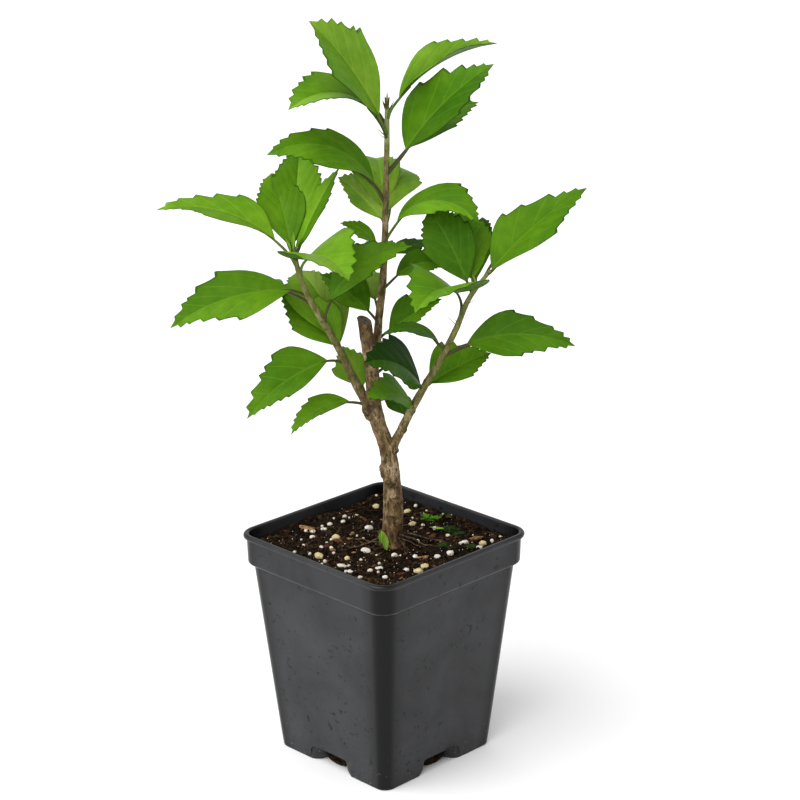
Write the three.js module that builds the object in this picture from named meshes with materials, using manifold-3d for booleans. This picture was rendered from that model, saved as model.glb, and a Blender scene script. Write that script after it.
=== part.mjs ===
// A young hibiscus shrub in a square nursery pot.
// Millimetres, +Z up. The origin is the middle of the pot's flat underside, and the pot's
// sides lie along X and Y. The plant itself is laid out as it is seen from a corner of the pot:
// u runs to the right, v away from the eye and z up, and one group sets that layout in place.

import * as THREE from 'three';
import { mergeVertices } from 'three/addons/utils/BufferGeometryUtils.js';
import Module from 'manifold-3d';

const wasm = await Module();
wasm.setup();

// Pot: half widths across the flats, corner radii and heights.
const potHeight = 123;
const potTopHalf = 55;
const potTopRadius = 10;
const lipHeight = 3;
const collarTopHalf = 53.7;
const collarFootHalf = 53.3;
const collarFootHeight = 105.5;
const collarRound = 2;
const bodyTopHalf = 51;
const potFootHalf = 40.5;
const potFootRadius = 6;
const edgeRound = 0.8;
const wall = 1.3;
const floorThickness = 2;
const footWall = 8.6;
const footWallHeight = 11;
const footRound = 7;
const notchWidth = 30;
const notchHeight = 9;
const notchRadius = 5;
const notchDepths = [-2, 0, 0.5, 1.5, 3, 5, footRound, footWall + 1];
const cornerSteps = 5;

// Soil: its level, how uneven it lies and the gap that keeps it off the pot.
const clearance = 0.3;
const soilLevel = 117.3;
const soilUneven = 0.8;
const soilWave = 10;
const soilPressed = 16;
const soilRings = 6;

// Plant: its turn, scale and place on the pot, then its trunk and root flare in its own layout.
const plantTurn = 45;
const plantScale = 0.99;
const plantPlace = [0.1, -11.7, 5.9];
const trunkFoot = (soilLevel + clearance - plantPlace[2]) / plantScale;
const stubTop = 237;
const stubSlant = 0.3;
const flareHeight = 4.5;
const flareWidth = 3;
const rootHeadings = [-150, -60, -15, 75, 165];
const trunkRings = [0, 2, 4, 7, 11, 16, 24, 34, 45, 52, 60, 70, 80, 92, 105, 116];
const limbSides = 8;
const limbSteps = 14;
const trunkSides = 15;
const stalkSides = 4;

// Leaves: thickness of a blade, half thickness of its stalk at both ends, and its teeth.
const bladeThickness = 0.8;
const stalkFootRadius = 1.15;
const stalkEndRadius = 0.75;
const stalkReach = 0.12;
const toothLengths = [1.25, 1.1, 0.95, 0.7];
const toothedTo = 0.95;
const toothStep = 0.03;
const plainSteps = 3;

// Swelling that carries the leaves of one spray: how much thicker than the limb, and how far to its side.
const knobExtra = 1.3;
const knobShift = 0.55;

const rad = THREE.MathUtils.degToRad;
const lerp = THREE.MathUtils.lerp;

const materials = {
  pot: new THREE.MeshStandardMaterial({ color: 0x3a3b3d, roughness: 0.45, metalness: 0 }),
  soil: new THREE.MeshStandardMaterial({ color: 0x3b2a1e, roughness: 0.95, metalness: 0 }),
  bark: new THREE.MeshStandardMaterial({ color: 0x7a6a55, roughness: 0.85, metalness: 0 }),
  leaf: new THREE.MeshStandardMaterial({ color: 0x4f8a24, roughness: 0.5, metalness: 0 }),
};

// Closed shell from shared points and faces of three or four corners.
function shell(points, faces) {
  const geometry = new THREE.BufferGeometry();
  const index = [];
  for (const [a, b, c, d] of faces) {
    index.push(a, b, c);
    if (d !== undefined) index.push(a, c, d);
  }
  const places = points.flatMap((p) => p.toArray());
  geometry.setAttribute('position', new THREE.Float32BufferAttribute(places, 3));
  geometry.setIndex(index);
  return geometry;
}

function toSolid(geometry) {
  const bare = geometry.clone();
  bare.deleteAttribute('normal');
  bare.deleteAttribute('uv');
  const merged = mergeVertices(bare, 1e-4);
  return new wasm.Manifold(new wasm.Mesh({
    numProp: 3,
    vertProperties: new Float32Array(merged.attributes.position.array),
    triVerts: new Uint32Array(merged.index.array),
  }));
}

// The largest piece of a joined solid, so that no scrap and no sealed hollow stays with it.
function toGeometry(solid) {
  const pieces = solid.decompose().sort((a, b) => b.volume() - a.volume());
  const mesh = pieces[0].getMesh();
  const geometry = new THREE.BufferGeometry();
  geometry.setAttribute('position', new THREE.Float32BufferAttribute(mesh.vertProperties, 3));
  geometry.setIndex(Array.from(mesh.triVerts));
  return geometry;
}

function fuse(geometries) {
  return geometries.map(toSolid).reduce((whole, piece) => whole.add(piece));
}

function named(name, geometry, material) {
  geometry.computeVertexNormals();
  const mesh = new THREE.Mesh(geometry, material);
  mesh.name = name;
  return mesh;
}

// Straight lines between [height, value] pairs.
function between(pairs, height) {
  const next = pairs.findIndex(([h]) => h >= height);
  if (next <= 0) return next === 0 ? pairs[0][1] : pairs.at(-1)[1];
  const [h0, value0] = pairs[next - 1];
  const [h1, value1] = pairs[next];
  return lerp(value0, value1, (height - h0) / (h1 - h0));
}

// Rings of equal count, skinned from the first to the last and closed with a fan at each end.
function loft(rings) {
  const count = rings[0].length;
  const points = rings.flat();
  const faces = [];
  for (let i = 0; i + 1 < rings.length; i++) {
    for (let j = 0; j < count; j++) {
      const k = (j + 1) % count;
      faces.push([i * count + j, i * count + k, (i + 1) * count + k, (i + 1) * count + j]);
    }
  }
  for (const [ring, outward] of [[0, -1], [rings.length - 1, 1]]) {
    const middle = new THREE.Vector3();
    rings[ring].forEach((p) => middle.addScaledVector(p, 1 / count));
    const hub = points.push(middle) - 1;
    for (let j = 0; j < count; j++) {
      const a = ring * count + j;
      const b = ring * count + (j + 1) % count;
      faces.push(outward > 0 ? [a, b, hub] : [b, a, hub]);
    }
  }
  return shell(points, faces);
}

// Rounded square, counter-clockwise from above.
function squareRing(half, radius, height) {
  const ring = [];
  for (let corner = 0; corner < 4; corner++) {
    for (let step = 0; step <= cornerSteps; step++) {
      const angle = rad(90 * (corner + step / cornerSteps));
      const hub = rad(90 * corner + 45);
      const reach = (half - radius) * Math.SQRT2;
      const x = reach * Math.cos(hub) + radius * Math.cos(angle);
      const y = reach * Math.sin(hub) + radius * Math.sin(angle);
      ring.push(new THREE.Vector3(x, y, height));
    }
  }
  return ring;
}

// Half width and corner radius of the pot's outside below the collar.
function bodyHalf(height) {
  return lerp(potFootHalf, bodyTopHalf, height / collarFootHeight);
}

function cornerRadius(height) {
  return lerp(potFootRadius, potTopRadius, height / potHeight);
}

// The pot's inner faces: the thick feet, straight up to the collar, then stepped out with it.
const innerSteps = [
  [floorThickness, bodyHalf(floorThickness) - footWall],
  [footWallHeight, bodyHalf(footWallHeight) - footWall],
  [footWallHeight + wall, bodyHalf(footWallHeight + wall) - wall],
  [collarFootHeight, bodyTopHalf - wall],
  [collarFootHeight + collarRound, collarFootHalf - wall],
  [potHeight - lipHeight, collarTopHalf - wall],
  [potHeight, collarTopHalf - wall],
];

function makePot() {
  const outerSteps = [
    [0, potFootHalf - edgeRound],
    [edgeRound, potFootHalf],
    [collarFootHeight, bodyTopHalf],
    ...[90, 60, 30, 0].map((turn) => [
      collarFootHeight + collarRound * (1 - Math.sin(rad(turn))),
      collarFootHalf - collarRound * (1 - Math.cos(rad(turn))),
    ]),
    [potHeight - lipHeight, collarTopHalf],
    [potHeight - lipHeight, potTopHalf - edgeRound / 2],
    [potHeight - edgeRound, potTopHalf],
    [potHeight, potTopHalf - edgeRound],
  ];
  const outer = outerSteps.map(([height, half]) => squareRing(half, cornerRadius(height), height));
  const inner = innerSteps.map(([height, half]) => squareRing(half, cornerRadius(height) - wall, height));
  let pot = toSolid(loft([...outer, ...inner.toReversed()]));
  const notch = makeNotch();
  for (let side = 0; side < 4; side++) {
    const turn = new THREE.Matrix4().makeRotationZ(rad(90 * side));
    pot = pot.subtract(toSolid(notch.clone().applyMatrix4(turn)));
  }
  return toGeometry(pot);
}

// Drain notch between two feet, at the middle of the pot's front edge: flat on top with round upper
// corners, and narrowing inwards as the feet's upright edges round off.
function makeNotch() {
  const rings = notchDepths.map((depth) => {
    const left = THREE.MathUtils.clamp(footRound - depth, 0, footRound);
    const half = notchWidth / 2 - Math.sqrt(footRound ** 2 - left ** 2);
    const place = (x, z) => new THREE.Vector3(x, depth - potFootHalf, z);
    const ring = [];
    for (const [side, from] of [[-1, 180], [1, 90]]) {
      for (let step = 0; step <= cornerSteps; step++) {
        const angle = rad(from - (90 * step) / cornerSteps);
        const x = side * (half - notchRadius) + notchRadius * Math.cos(angle);
        ring.push(place(x, notchHeight - notchRadius + notchRadius * Math.sin(angle)));
      }
    }
    ring.push(place(half, -floorThickness), place(-half, -floorThickness));
    return ring;
  });
  return loft(rings);
}

// Gentle waves that die away at the trunk's foot, where the soil is pressed level.
function soilHeight(x, y) {
  const foot = layout(...limbs.trunk.line[0]);
  const fade = THREE.MathUtils.smoothstep(Math.hypot(x - foot.x, y - foot.y), soilPressed, 2 * soilPressed);
  const wave = Math.sin(x / soilWave) * Math.cos(y / soilWave) + 0.5 * Math.sin((1.9 * x + y) / soilWave);
  return soilLevel + fade * soilUneven * wave;
}

function makeSoil() {
  const slim = ([height, half]) => {
    return squareRing(half - clearance, cornerRadius(height) - wall - clearance, height);
  };
  const rings = [
    slim([floorThickness + clearance, innerSteps[0][1]]),
    ...innerSteps.slice(1, 5).map(([height, half]) => slim([height + clearance, half])),
  ];
  const rimShare = (soilLevel - collarFootHeight) / (potHeight - lipHeight - collarFootHeight);
  const rimHalf = lerp(collarFootHalf, collarTopHalf, rimShare) - wall - clearance;
  for (let i = 0; i < soilRings; i++) {
    const share = 1 - i / soilRings;
    const ring = squareRing(rimHalf, cornerRadius(soilLevel) - wall - clearance, soilLevel);
    for (const p of ring) {
      p.x *= share;
      p.y *= share;
      p.z = soilHeight(p.x, p.y);
    }
    rings.push(ring);
  }
  return loft(rings);
}

// A point of the plant's own layout, set on to the pot.
function layout(u, v, z) {
  const point = new THREE.Vector3(...plantPlace).addScaledVector(new THREE.Vector3(u, v, z), plantScale);
  return point.applyAxisAngle(new THREE.Vector3(0, 0, 1), rad(plantTurn));
}

// Limbs: the line each one follows and its radius at chosen heights.
const limbs = {
  trunk: {
    line: [[4.2, 8, 112], [4.8, 8, 129], [4.6, 8, 143], [3.4, 8, 157], [1.4, 8, 168], [-2.2, 8, 179],
      [-4.6, 7.5, 190], [-5.2, 7, 204], [-7, 6, 220], [-9.6, 5, 239]],
    radii: [[112, 5.2], [150, 4.8], [158, 4.6], [168, 3.9], [190, 3.9], [204, 3.7], [239, 3.5]],
  },
  left: {
    line: [[-3.4, 7.8, 180], [-7.5, 6.6, 189], [-15.3, 4, 206], [-23.2, 0, 225], [-33.4, -4, 245],
      [-39.6, -7, 259], [-42.8, -9, 271.6], [-43.7, -10, 280]],
    radii: [[180, 3], [192, 2.4], [225, 1.9], [250, 1.6], [271, 1.3], [280, 0.9]],
  },
  centre: {
    line: [[-5, 7.5, 194], [-4.6, 9.6, 202], [-3.9, 11, 212], [-3, 11.2, 222], [-1.8, 11, 236],
      [0.4, 10.6, 257], [1.6, 11, 280], [2.2, 12, 300], [2.9, 13.4, 330], [3.1, 14, 353]],
    radii: [[194, 2.9], [204, 2.2], [257, 1.9], [300, 1.6], [330, 1.4], [344, 1.7], [350, 1.3], [353, 0.5]],
  },
  right: {
    line: [[3, 7.6, 160], [5.2, 6.8, 168], [9.2, 5.2, 177], [14.6, 3.4, 189], [23.8, 0, 207],
      [30.5, -1.5, 219.5], [37.6, -3, 235], [42.6, -5, 248.6], [47, -6, 256.4], [54.5, -8, 266.6]],
    radii: [[160, 3.2], [170, 2.5], [190, 2.1], [235, 1.6], [256, 1.3], [266.6, 1]],
  },
};

for (const limb of Object.values(limbs)) {
  const places = limb.line.map((p) => new THREE.Vector3(...p));
  limb.curve = new THREE.CatmullRomCurve3(places, false, 'centripetal');
}

// Where on a limb's curve, from 0 to 1, it reaches a height.
function shareAt(limb, height) {
  let low = 0;
  let high = 1;
  for (let i = 0; i < 30; i++) {
    const middle = (low + high) / 2;
    if (limb.curve.getPointAt(middle).z < height) low = middle;
    else high = middle;
  }
  return low;
}

function limbPoint(limb, height) {
  return limb.curve.getPointAt(shareAt(limb, height));
}

// Round tube along a curve between two shares of its length, with flat ends.
function tube(curve, radiusAt, sides, steps, from = 0, to = 1) {
  const rings = [];
  let across = new THREE.Vector3(0, -1, 0);
  for (let i = 0; i <= steps; i++) {
    const share = lerp(from, to, i / steps);
    const centre = curve.getPointAt(share);
    const along = curve.getTangentAt(share);
    across = across.clone().addScaledVector(along, -across.dot(along)).normalize();
    const other = along.clone().cross(across);
    const radius = radiusAt(centre, share);
    const ring = [];
    for (let j = 0; j < sides; j++) {
      const angle = (2 * Math.PI * j) / sides;
      const point = centre.clone().addScaledVector(across, radius * Math.cos(angle));
      ring.push(point.addScaledVector(other, radius * Math.sin(angle)));
    }
    rings.push(ring);
  }
  return loft(rings);
}

function limbTube(limb, extra, steps, from = 0, to = 1) {
  const radiusAt = (centre) => between(limb.radii, centre.z) + extra;
  return tube(limb.curve, radiusAt, limbSides, steps, from, to);
}

// The trunk is lofted in level rings, so that its foot is a flat cut at soil level. The roots
// start as swellings between the ground and the flare's height, and the old cut at its top slants.
function makeTrunk(extra = 0) {
  const rings = trunkRings.map((above) => {
    const height = trunkFoot + above - (above === 0 ? extra : 0);
    const centre = limbPoint(limbs.trunk, height);
    const flare = Math.exp(-above / flareHeight);
    const radius = between(limbs.trunk.radii, height) + extra;
    return levelRing(centre, height, (angle) => radius + flareWidth * flare * rootSwell(angle));
  });
  const top = limbPoint(limbs.trunk, stubTop);
  const topRadius = between(limbs.trunk.radii, stubTop) + extra;
  const cut = levelRing(top, stubTop + extra, () => topRadius);
  cut.forEach((p) => { p.z += stubSlant * (p.y - top.y) - stubSlant * (p.x - top.x); });
  rings.push(cut);
  return loft(rings);
}

function levelRing(centre, height, radiusAt) {
  const ring = [];
  for (let j = 0; j < trunkSides; j++) {
    const angle = (360 * j) / trunkSides;
    const radius = radiusAt(angle);
    const x = centre.x + radius * Math.cos(rad(angle));
    const y = centre.y + radius * Math.sin(rad(angle));
    ring.push(new THREE.Vector3(x, y, height));
  }
  return ring;
}

// From 0.3 between the roots to 1 on a root's heading.
function rootSwell(angle) {
  const nearest = Math.max(...rootHeadings.map((heading) => Math.cos(rad(angle - heading))));
  return 0.3 + 0.7 * Math.max(0, nearest) ** 6;
}

// One leaf: the height of its foot on the limb, the place where its blade starts in u, v and z,
// the blade's heading and rise there in degrees, its length and width, and how it is shaped:
// droop bends it down along its length, roll leans it about its rib, fold lifts both halves,
// and wide is the share of the length where it is widest. On the right half, shift moves that
// place towards the tip and uneven widens the half; the left half does the opposite. A low taper
// gives a round tip, and a low blunt a round foot.
function leaf(foot, start, heading, rise, length, width, shape = {}) {
  const plain = { droop: 20, roll: 0, fold: 10, wide: 0.48, shift: 0, uneven: 0, taper: 0.9, blunt: 0.95 };
  const whole = { ...plain, ...shape };
  return { foot, start: new THREE.Vector3(...start), heading, rise, length, width, ...whole };
}

// The rib at a share of its length: place, direction, side and upward normal after the roll.
function ribAt(blade, share) {
  const heading = rad(blade.heading);
  const bend = rad(blade.droop);
  const first = rad(blade.rise);
  const rise = first - bend * share;
  const forward = blade.length * (Math.sin(first) - Math.sin(rise)) / bend;
  const up = blade.length * (Math.cos(rise) - Math.cos(first)) / bend;
  const level = new THREE.Vector3(Math.cos(heading), Math.sin(heading), 0);
  const point = blade.start.clone().addScaledVector(level, forward);
  point.z += up;
  const along = level.clone().multiplyScalar(Math.cos(rise));
  along.z = Math.sin(rise);
  const side = new THREE.Vector3(level.y, -level.x, 0).applyAxisAngle(along, -rad(blade.roll));
  const normal = side.clone().cross(along);
  return { point, along, side, normal };
}

// Half width as a share of the full half width: a wedge foot, a round belly and a pointed end.
function plainHalf(blade, share, wide) {
  if (share < wide) return Math.sin((Math.PI / 2) * (share / wide)) ** blade.blunt;
  return (1 - (share - wide) / (1 - wide)) ** blade.taper;
}

// Places along a blade's edge: a plain stretch, then the tip and the notch of each saw tooth.
// Each has its share of the length, the share where the half width is read, and a step out or in.
function edgePlaces(wide) {
  const places = [];
  const toothedFrom = wide - 0.02;
  for (let i = 1; i < plainSteps; i++) {
    const share = (toothedFrom * i) / plainSteps;
    places.push({ share, read: share, step: 0 });
  }
  const whole = toothLengths.reduce((sum, one) => sum + one);
  let start = toothedFrom;
  for (const one of toothLengths) {
    const length = ((toothedTo - toothedFrom) * one) / whole;
    places.push({ share: start + 0.8 * length, read: start + 0.65 * length, step: toothStep });
    places.push({ share: start + 0.92 * length, read: start + length, step: -toothStep });
    start += length;
  }
  return places;
}

// The blade is a thin slab folded along its rib, its faces offset along each half's own normal.
function makeBlade(blade) {
  const edge = [{ share: 0 }, ...edgePlaces(blade.wide), { share: 1 }];
  const fold = rad(blade.fold);
  const last = edge.length - 1;
  const points = [];
  const faces = [];
  const addPair = (point, normal, depth) => {
    points.push(point.clone().addScaledVector(normal, depth));
    points.push(point.clone().addScaledVector(normal, -depth));
    return points.length - 2;
  };
  const rows = edge.map(({ share, read, step }, i) => {
    const { point, side, normal } = ribAt(blade, share);
    const rib = addPair(point, normal, bladeThickness / 2 / Math.cos(fold));
    if (i === 0 || i === last) return { rib, right: rib, left: rib };
    const [right, left] = [1, -1].map((sign) => {
      const half = plainHalf(blade, read, blade.wide + sign * blade.shift) + step;
      const reach = (half * (1 + sign * blade.uneven) * blade.width) / 2;
      const out = side.clone().multiplyScalar(sign * Math.cos(fold));
      out.addScaledVector(normal, Math.sin(fold));
      const facing = normal.clone().multiplyScalar(Math.cos(fold));
      facing.addScaledVector(side, -sign * Math.sin(fold));
      return addPair(point.clone().addScaledVector(out, reach), facing, bladeThickness / 2);
    });
    return { rib, right, left };
  });
  const addFace = (...corners) => {
    const distinct = corners.filter((c, i) => corners.indexOf(c) === i);
    if (distinct.length > 2) faces.push(distinct);
  };
  for (let i = 0; i < last; i++) {
    const a = rows[i];
    const b = rows[i + 1];
    addFace(a.rib, a.right, b.right, b.rib);
    addFace(a.rib, b.rib, b.left, a.left);
    addFace(b.rib + 1, b.right + 1, a.right + 1, a.rib + 1);
    addFace(a.left + 1, b.left + 1, b.rib + 1, a.rib + 1);
    addFace(a.right, a.right + 1, b.right + 1, b.right);
    addFace(a.left, b.left, b.left + 1, a.left + 1);
  }
  return shell(points, faces);
}

// The stalk leaves the limb, swings round into the blade's direction and sinks into its foot.
function makeStalk(limb, blade) {
  const foot = limbPoint(limb, blade.foot);
  const start = ribAt(blade, 0);
  const sunk = ribAt(blade, stalkReach);
  const span = foot.distanceTo(start.point);
  const bend = start.point.clone().addScaledVector(start.along, -0.35 * span).lerp(foot, 0.3);
  const curve = new THREE.CatmullRomCurve3([foot, bend, start.point, sunk.point], false, 'centripetal');
  const steps = span > 12 ? 4 : 3;
  const radiusAt = (centre, share) => lerp(stalkFootRadius, stalkEndRadius, Math.min(1, 1.6 * share));
  return tube(curve, radiusAt, stalkSides, steps);
}

function makeKnob(limb, height, heading) {
  const centre = limbPoint(limb, height);
  const radius = between(limb.radii, height) + knobExtra;
  const knob = new THREE.SphereGeometry(radius, 6, 4);
  const reach = radius * knobShift;
  centre.x += reach * Math.cos(rad(heading));
  centre.y += reach * Math.sin(rad(heading));
  knob.translate(...centre.toArray());
  return knob;
}

// Crowns end a limb: their stem is the limb's own upper end, which the bough stops short of.
const crowns = [
  {
    name: 'centre_crown',
    limb: limbs.centre,
    from: 305,
    leaves: [
      leaf(331, [-1, 8, 342], 203, 64, 62, 41,
        { roll: 50, fold: 20, wide: 0.63, shift: -0.02, uneven: -0.1 }),
      leaf(329, [-2, 9, 341], 202, 57, 53, 32, { droop: 95, roll: 15, fold: 15, wide: 0.6, uneven: 0.08 }),
      leaf(339, [9, 12, 350], 20, 47, 59, 23, { droop: 45, roll: -20, fold: 50, wide: 0.46 }),
      leaf(311, [12.4, 10, 324], 342, 58, 65, 35,
        { droop: 25, roll: -52, fold: 12, shift: 0.13, uneven: -0.15 }),
      leaf(334, [-2.5, 20, 343], 128, 30, 40, 22, { droop: 30, fold: 12 }),
      leaf(311.5, [12.8, 19, 323], 36, 41, 50, 26, { droop: 40, roll: -20, fold: 12 }),
      leaf(343, [2.5, 13, 346], 190, 80, 8, 4, { droop: 30, roll: 20, fold: 25 }),
      leaf(343, [4, 15, 348], 60, 78, 6, 3.5, { droop: 30, roll: -20, fold: 25 }),
    ],
  },
  {
    name: 'left_crown',
    limb: limbs.left,
    from: 257,
    leaves: [
      leaf(269, [-53, -12, 284], 174, 41, 63, 24,
        { droop: 55, roll: 20, fold: 18, wide: 0.46, shift: -0.1, uneven: 0.12 }),
      leaf(274, [-45, -8, 279], 113, 60, 42, 25, { roll: 10, fold: 12, wide: 0.62, taper: 0.55 }),
      leaf(276, [-44, -5, 280], 85, 62, 50, 25, { droop: 15, wide: 0.68, taper: 0.5 }),
      leaf(272, [-41.5, -10, 279], 41, 61, 46, 22, { droop: 15, roll: 12, fold: 5, uneven: -0.15 }),
      leaf(263, [-37.7, -13, 274], 304, 32, 42, 46,
        { droop: 70, roll: -8, fold: 24, wide: 0.32, blunt: 0.5 }),
      leaf(274, [-46, 4, 277], 95, 41, 46, 24, { droop: 40, fold: 12 }),
    ],
  },
  {
    name: 'right_crown',
    limb: limbs.right,
    from: 234,
    leaves: [
      leaf(265, [55.2, -8, 266.7], 353, 53, 64, 31, { roll: -50, fold: 25, shift: 0.15 }),
      leaf(254, [42.9, -4, 259.4], 140, 63, 42, 27, { roll: 45, fold: 0, wide: 0.6, taper: 0.55 }),
      leaf(255, [45.6, -2, 260], 103, 49, 42, 28,
        { droop: 15, roll: 10, fold: 0, wide: 0.62, taper: 0.5 }),
      leaf(256, [47.2, -2, 260], 82, 45, 40, 15, { droop: 15, roll: 5, fold: 5, wide: 0.6, taper: 0.5 }),
      leaf(236, [37.8, -8, 255], 237, 34, 42, 48,
        { droop: 70, roll: 4, fold: 24, wide: 0.32, uneven: -0.06, blunt: 0.5 }),
      leaf(263, [56.5, 2, 269], 50, 36, 50, 18, { droop: 40, roll: -20, fold: 12 }),
    ],
  },
];

// Side sprays stand on the side of a limb. Leaves that share a node of the bark also share a small
// swelling there, given as its height and heading.
const sprays = [
  { name: 'centre_spray_upper_left', limb: limbs.centre, knob: [297, 165], leaves: [
    leaf(296, [-3.7, 10, 307], 199, 63, 65, 27,
      { droop: 88, roll: 38, fold: 5, wide: 0.55, shift: -0.07, uneven: -0.1 }),
    leaf(297, [-12, 26, 310], 163, 33, 34, 18, { droop: 60, roll: 10, fold: 12 }),
  ] },
  { name: 'centre_spray_upper_back', limb: limbs.centre, knob: [284, 100], leaves: [
    leaf(284, [0.1, 15.5, 287], 136, 38, 36, 19, { roll: 60, fold: 0, wide: 0.55, uneven: 0.35 }),
    leaf(285, [0.6, 18, 292.5], 96, 72, 43, 27, { droop: 90, wide: 0.6, taper: 0.5, uneven: -0.2 }),
    leaf(284, [4.2, 16, 292], 72, 62, 37, 22,
      { droop: 80, roll: -20, fold: 0, wide: 0.6, shift: 0.05, taper: 0.6 }),
  ] },
  { name: 'centre_spray_upper_right', limb: limbs.centre, leaves: [
    leaf(277, [7.7, 9, 287.3], 340, 59, 51, 20,
      { droop: 110, roll: -38, fold: 8, wide: 0.59, shift: -0.09, uneven: -0.1 }),
  ] },
  { name: 'centre_spray_middle_left', limb: limbs.centre, leaves: [
    leaf(271, [-3, 8.5, 276], 176, 58, 22, 14, { droop: 55, roll: 20, uneven: -0.2 }),
  ] },
  { name: 'centre_spray_middle_right', limb: limbs.centre, leaves: [
    leaf(263, [4.5, 12.5, 270], 38, 14, 26, 13, { roll: -20, fold: 0 }),
  ] },
  { name: 'centre_spray_middle_back', limb: limbs.centre, leaves: [
    leaf(258, [0.4, 18, 262.5], 95, 31, 42, 16, { droop: 70, fold: 12 }),
  ] },
  { name: 'centre_spray_lower_right', limb: limbs.centre, leaves: [
    leaf(251, [7.1, 5, 260], 20, 42, 30, 15, { droop: 75, roll: -50, fold: 15 }),
  ] },
  { name: 'centre_spray_lower_left', limb: limbs.centre, knob: [235, 150], leaves: [
    leaf(232, [-6.8, 7, 241], 158, 42, 32, 21, { roll: 35, uneven: 0.15 }),
    leaf(237, [-3.6, 14, 245], 105, 33, 31, 18, { droop: 30, roll: 10, fold: 0 }),
  ] },
  { name: 'centre_spray_low_right', limb: limbs.centre, leaves: [
    leaf(224, [3.3, 12, 229.3], 16, 34, 32, 17, { droop: 15, roll: -45, fold: 20, uneven: -0.3 }),
  ] },
  { name: 'centre_spray_low_back', limb: limbs.centre, leaves: [
    leaf(206, [1.6, 18, 211], 95, 25, 40, 16, { droop: 60, fold: 12 }),
  ] },
  { name: 'left_spray_upper', limb: limbs.left, knob: [247, 160], leaves: [
    leaf(247, [-45.8, -5, 255.9], 190, 6, 65, 29,
      { droop: 42, roll: 47, fold: 13, wide: 0.47, shift: 0.05 }),
    leaf(247, [-49, 6, 252], 130, -5, 48, 22, { droop: 40, roll: 20, fold: 12 }),
  ] },
  { name: 'left_spray_upper_right', limb: limbs.left, leaves: [
    leaf(237, [-25.8, -5, 250.6], 8, 63, 52, 24, { droop: 62, roll: -35, fold: 15, wide: 0.45 }),
  ] },
  { name: 'left_spray_middle', limb: limbs.left, knob: [219, 90], leaves: [
    leaf(219, [-22.5, 4.5, 223], 149, 43, 42, 26, { roll: 45, fold: 15, shift: -0.08, uneven: 0.08 }),
    leaf(219, [-22, 5.5, 224], 125, 64, 50, 35,
      { droop: 50, roll: 5, fold: 0, wide: 0.66, taper: 0.55, uneven: -0.06 }),
  ] },
  { name: 'left_spray_lower', limb: limbs.left, leaves: [
    leaf(209, [-27.9, -1.5, 217.4], 202, -10, 52, 25,
      { droop: 40, roll: 47, fold: 15, wide: 0.42, shift: -0.05, uneven: 0.24 }),
  ] },
  { name: 'left_spray_foot_back', limb: limbs.left, leaves: [
    leaf(194, [-10.4, 12, 199], 116, 41, 29, 21, { roll: 15, fold: 0, uneven: -0.15 }),
  ] },
  { name: 'left_spray_foot', limb: limbs.left, leaves: [
    leaf(190, [-17, 3, 193.6], 202, 10, 37, 14, { droop: 65, roll: 25, fold: 13, uneven: 0.2 }),
  ] },
  { name: 'right_spray_upper', limb: limbs.right, knob: [219, 15], leaves: [
    leaf(219, [42.9, -2, 226], 352, 25, 57, 26,
      { droop: 48, roll: -52, wide: 0.43, shift: 0.02, uneven: 0.04 }),
    leaf(219, [46, 5, 224], 40, 5, 50, 20, { droop: 35, roll: -20, fold: 12 }),
  ] },
  { name: 'right_spray_upper_left', limb: limbs.right, leaves: [
    leaf(224, [28.8, -3.4, 226.5], 194, 56, 33, 13, { droop: 85, roll: 15, fold: 8 }),
  ] },
  { name: 'right_spray_middle', limb: limbs.right, leaves: [
    leaf(196, [24.2, 5, 202.6], 18, 31, 36, 27, { roll: -45, fold: 28, shift: 0.08, uneven: -0.15 }),
  ] },
  { name: 'right_spray_lower_left', limb: limbs.right, leaves: [
    leaf(197, [19.2, -1, 204], 227, 55, 49, 33, { droop: 55, roll: 45, wide: 0.45 }),
  ] },
  { name: 'right_spray_foot_left', limb: limbs.right, leaves: [
    leaf(187, [15, 0.5, 192.5], 227, 45, 37, 24, { droop: 50, roll: 35, wide: 0.4, uneven: 0.12 }),
  ] },
  { name: 'right_spray_foot_back', limb: limbs.right, leaves: [
    leaf(178, [11.3, 7, 185], 109, 25, 24, 14, { roll: 10, fold: 0 }),
  ] },
];

const fatTrunk = toSolid(makeTrunk(clearance));

function makeBough(limb, crownFrom) {
  const end = shareAt(limb, crownFrom);
  return toGeometry(toSolid(limbTube(limb, 0, limbSteps, 0, end)).subtract(fatTrunk));
}

function makeCrown({ limb, from, leaves }) {
  const start = shareAt(limb, from) + clearance / limb.curve.getLength();
  const pieces = [limbTube(limb, 0, limbSteps / 2, start, 1)];
  for (const blade of leaves) pieces.push(makeStalk(limb, blade), makeBlade(blade));
  return toGeometry(fuse(pieces));
}

function makeSpray({ limb, knob, leaves }) {
  const pieces = knob ? [makeKnob(limb, ...knob)] : [];
  for (const blade of leaves) pieces.push(makeStalk(limb, blade), makeBlade(blade));
  const fatLimb = toSolid(limbTube(limb, clearance, limbSteps));
  return toGeometry(fuse(pieces).subtract(fatLimb).subtract(fatTrunk));
}

const plant = new THREE.Group();
plant.position.copy(layout(0, 0, 0));
plant.rotation.z = rad(plantTurn);
plant.scale.setScalar(plantScale);
plant.add(named('trunk', makeTrunk(), materials.bark));
for (const { name, limb, from } of crowns) {
  plant.add(named(name.replace('crown', 'bough'), makeBough(limb, from), materials.bark));
}
for (const crown of crowns) plant.add(named(crown.name, makeCrown(crown), materials.leaf));
for (const spray of sprays) plant.add(named(spray.name, makeSpray(spray), materials.leaf));

const group = new THREE.Group();
group.add(named('pot', makePot(), materials.pot));
group.add(named('soil', makeSoil(), materials.soil));
group.add(plant);

export default group;
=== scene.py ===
import math

import bmesh
import bpy
import numpy as np
from mathutils import Matrix, Vector, noise


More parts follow.
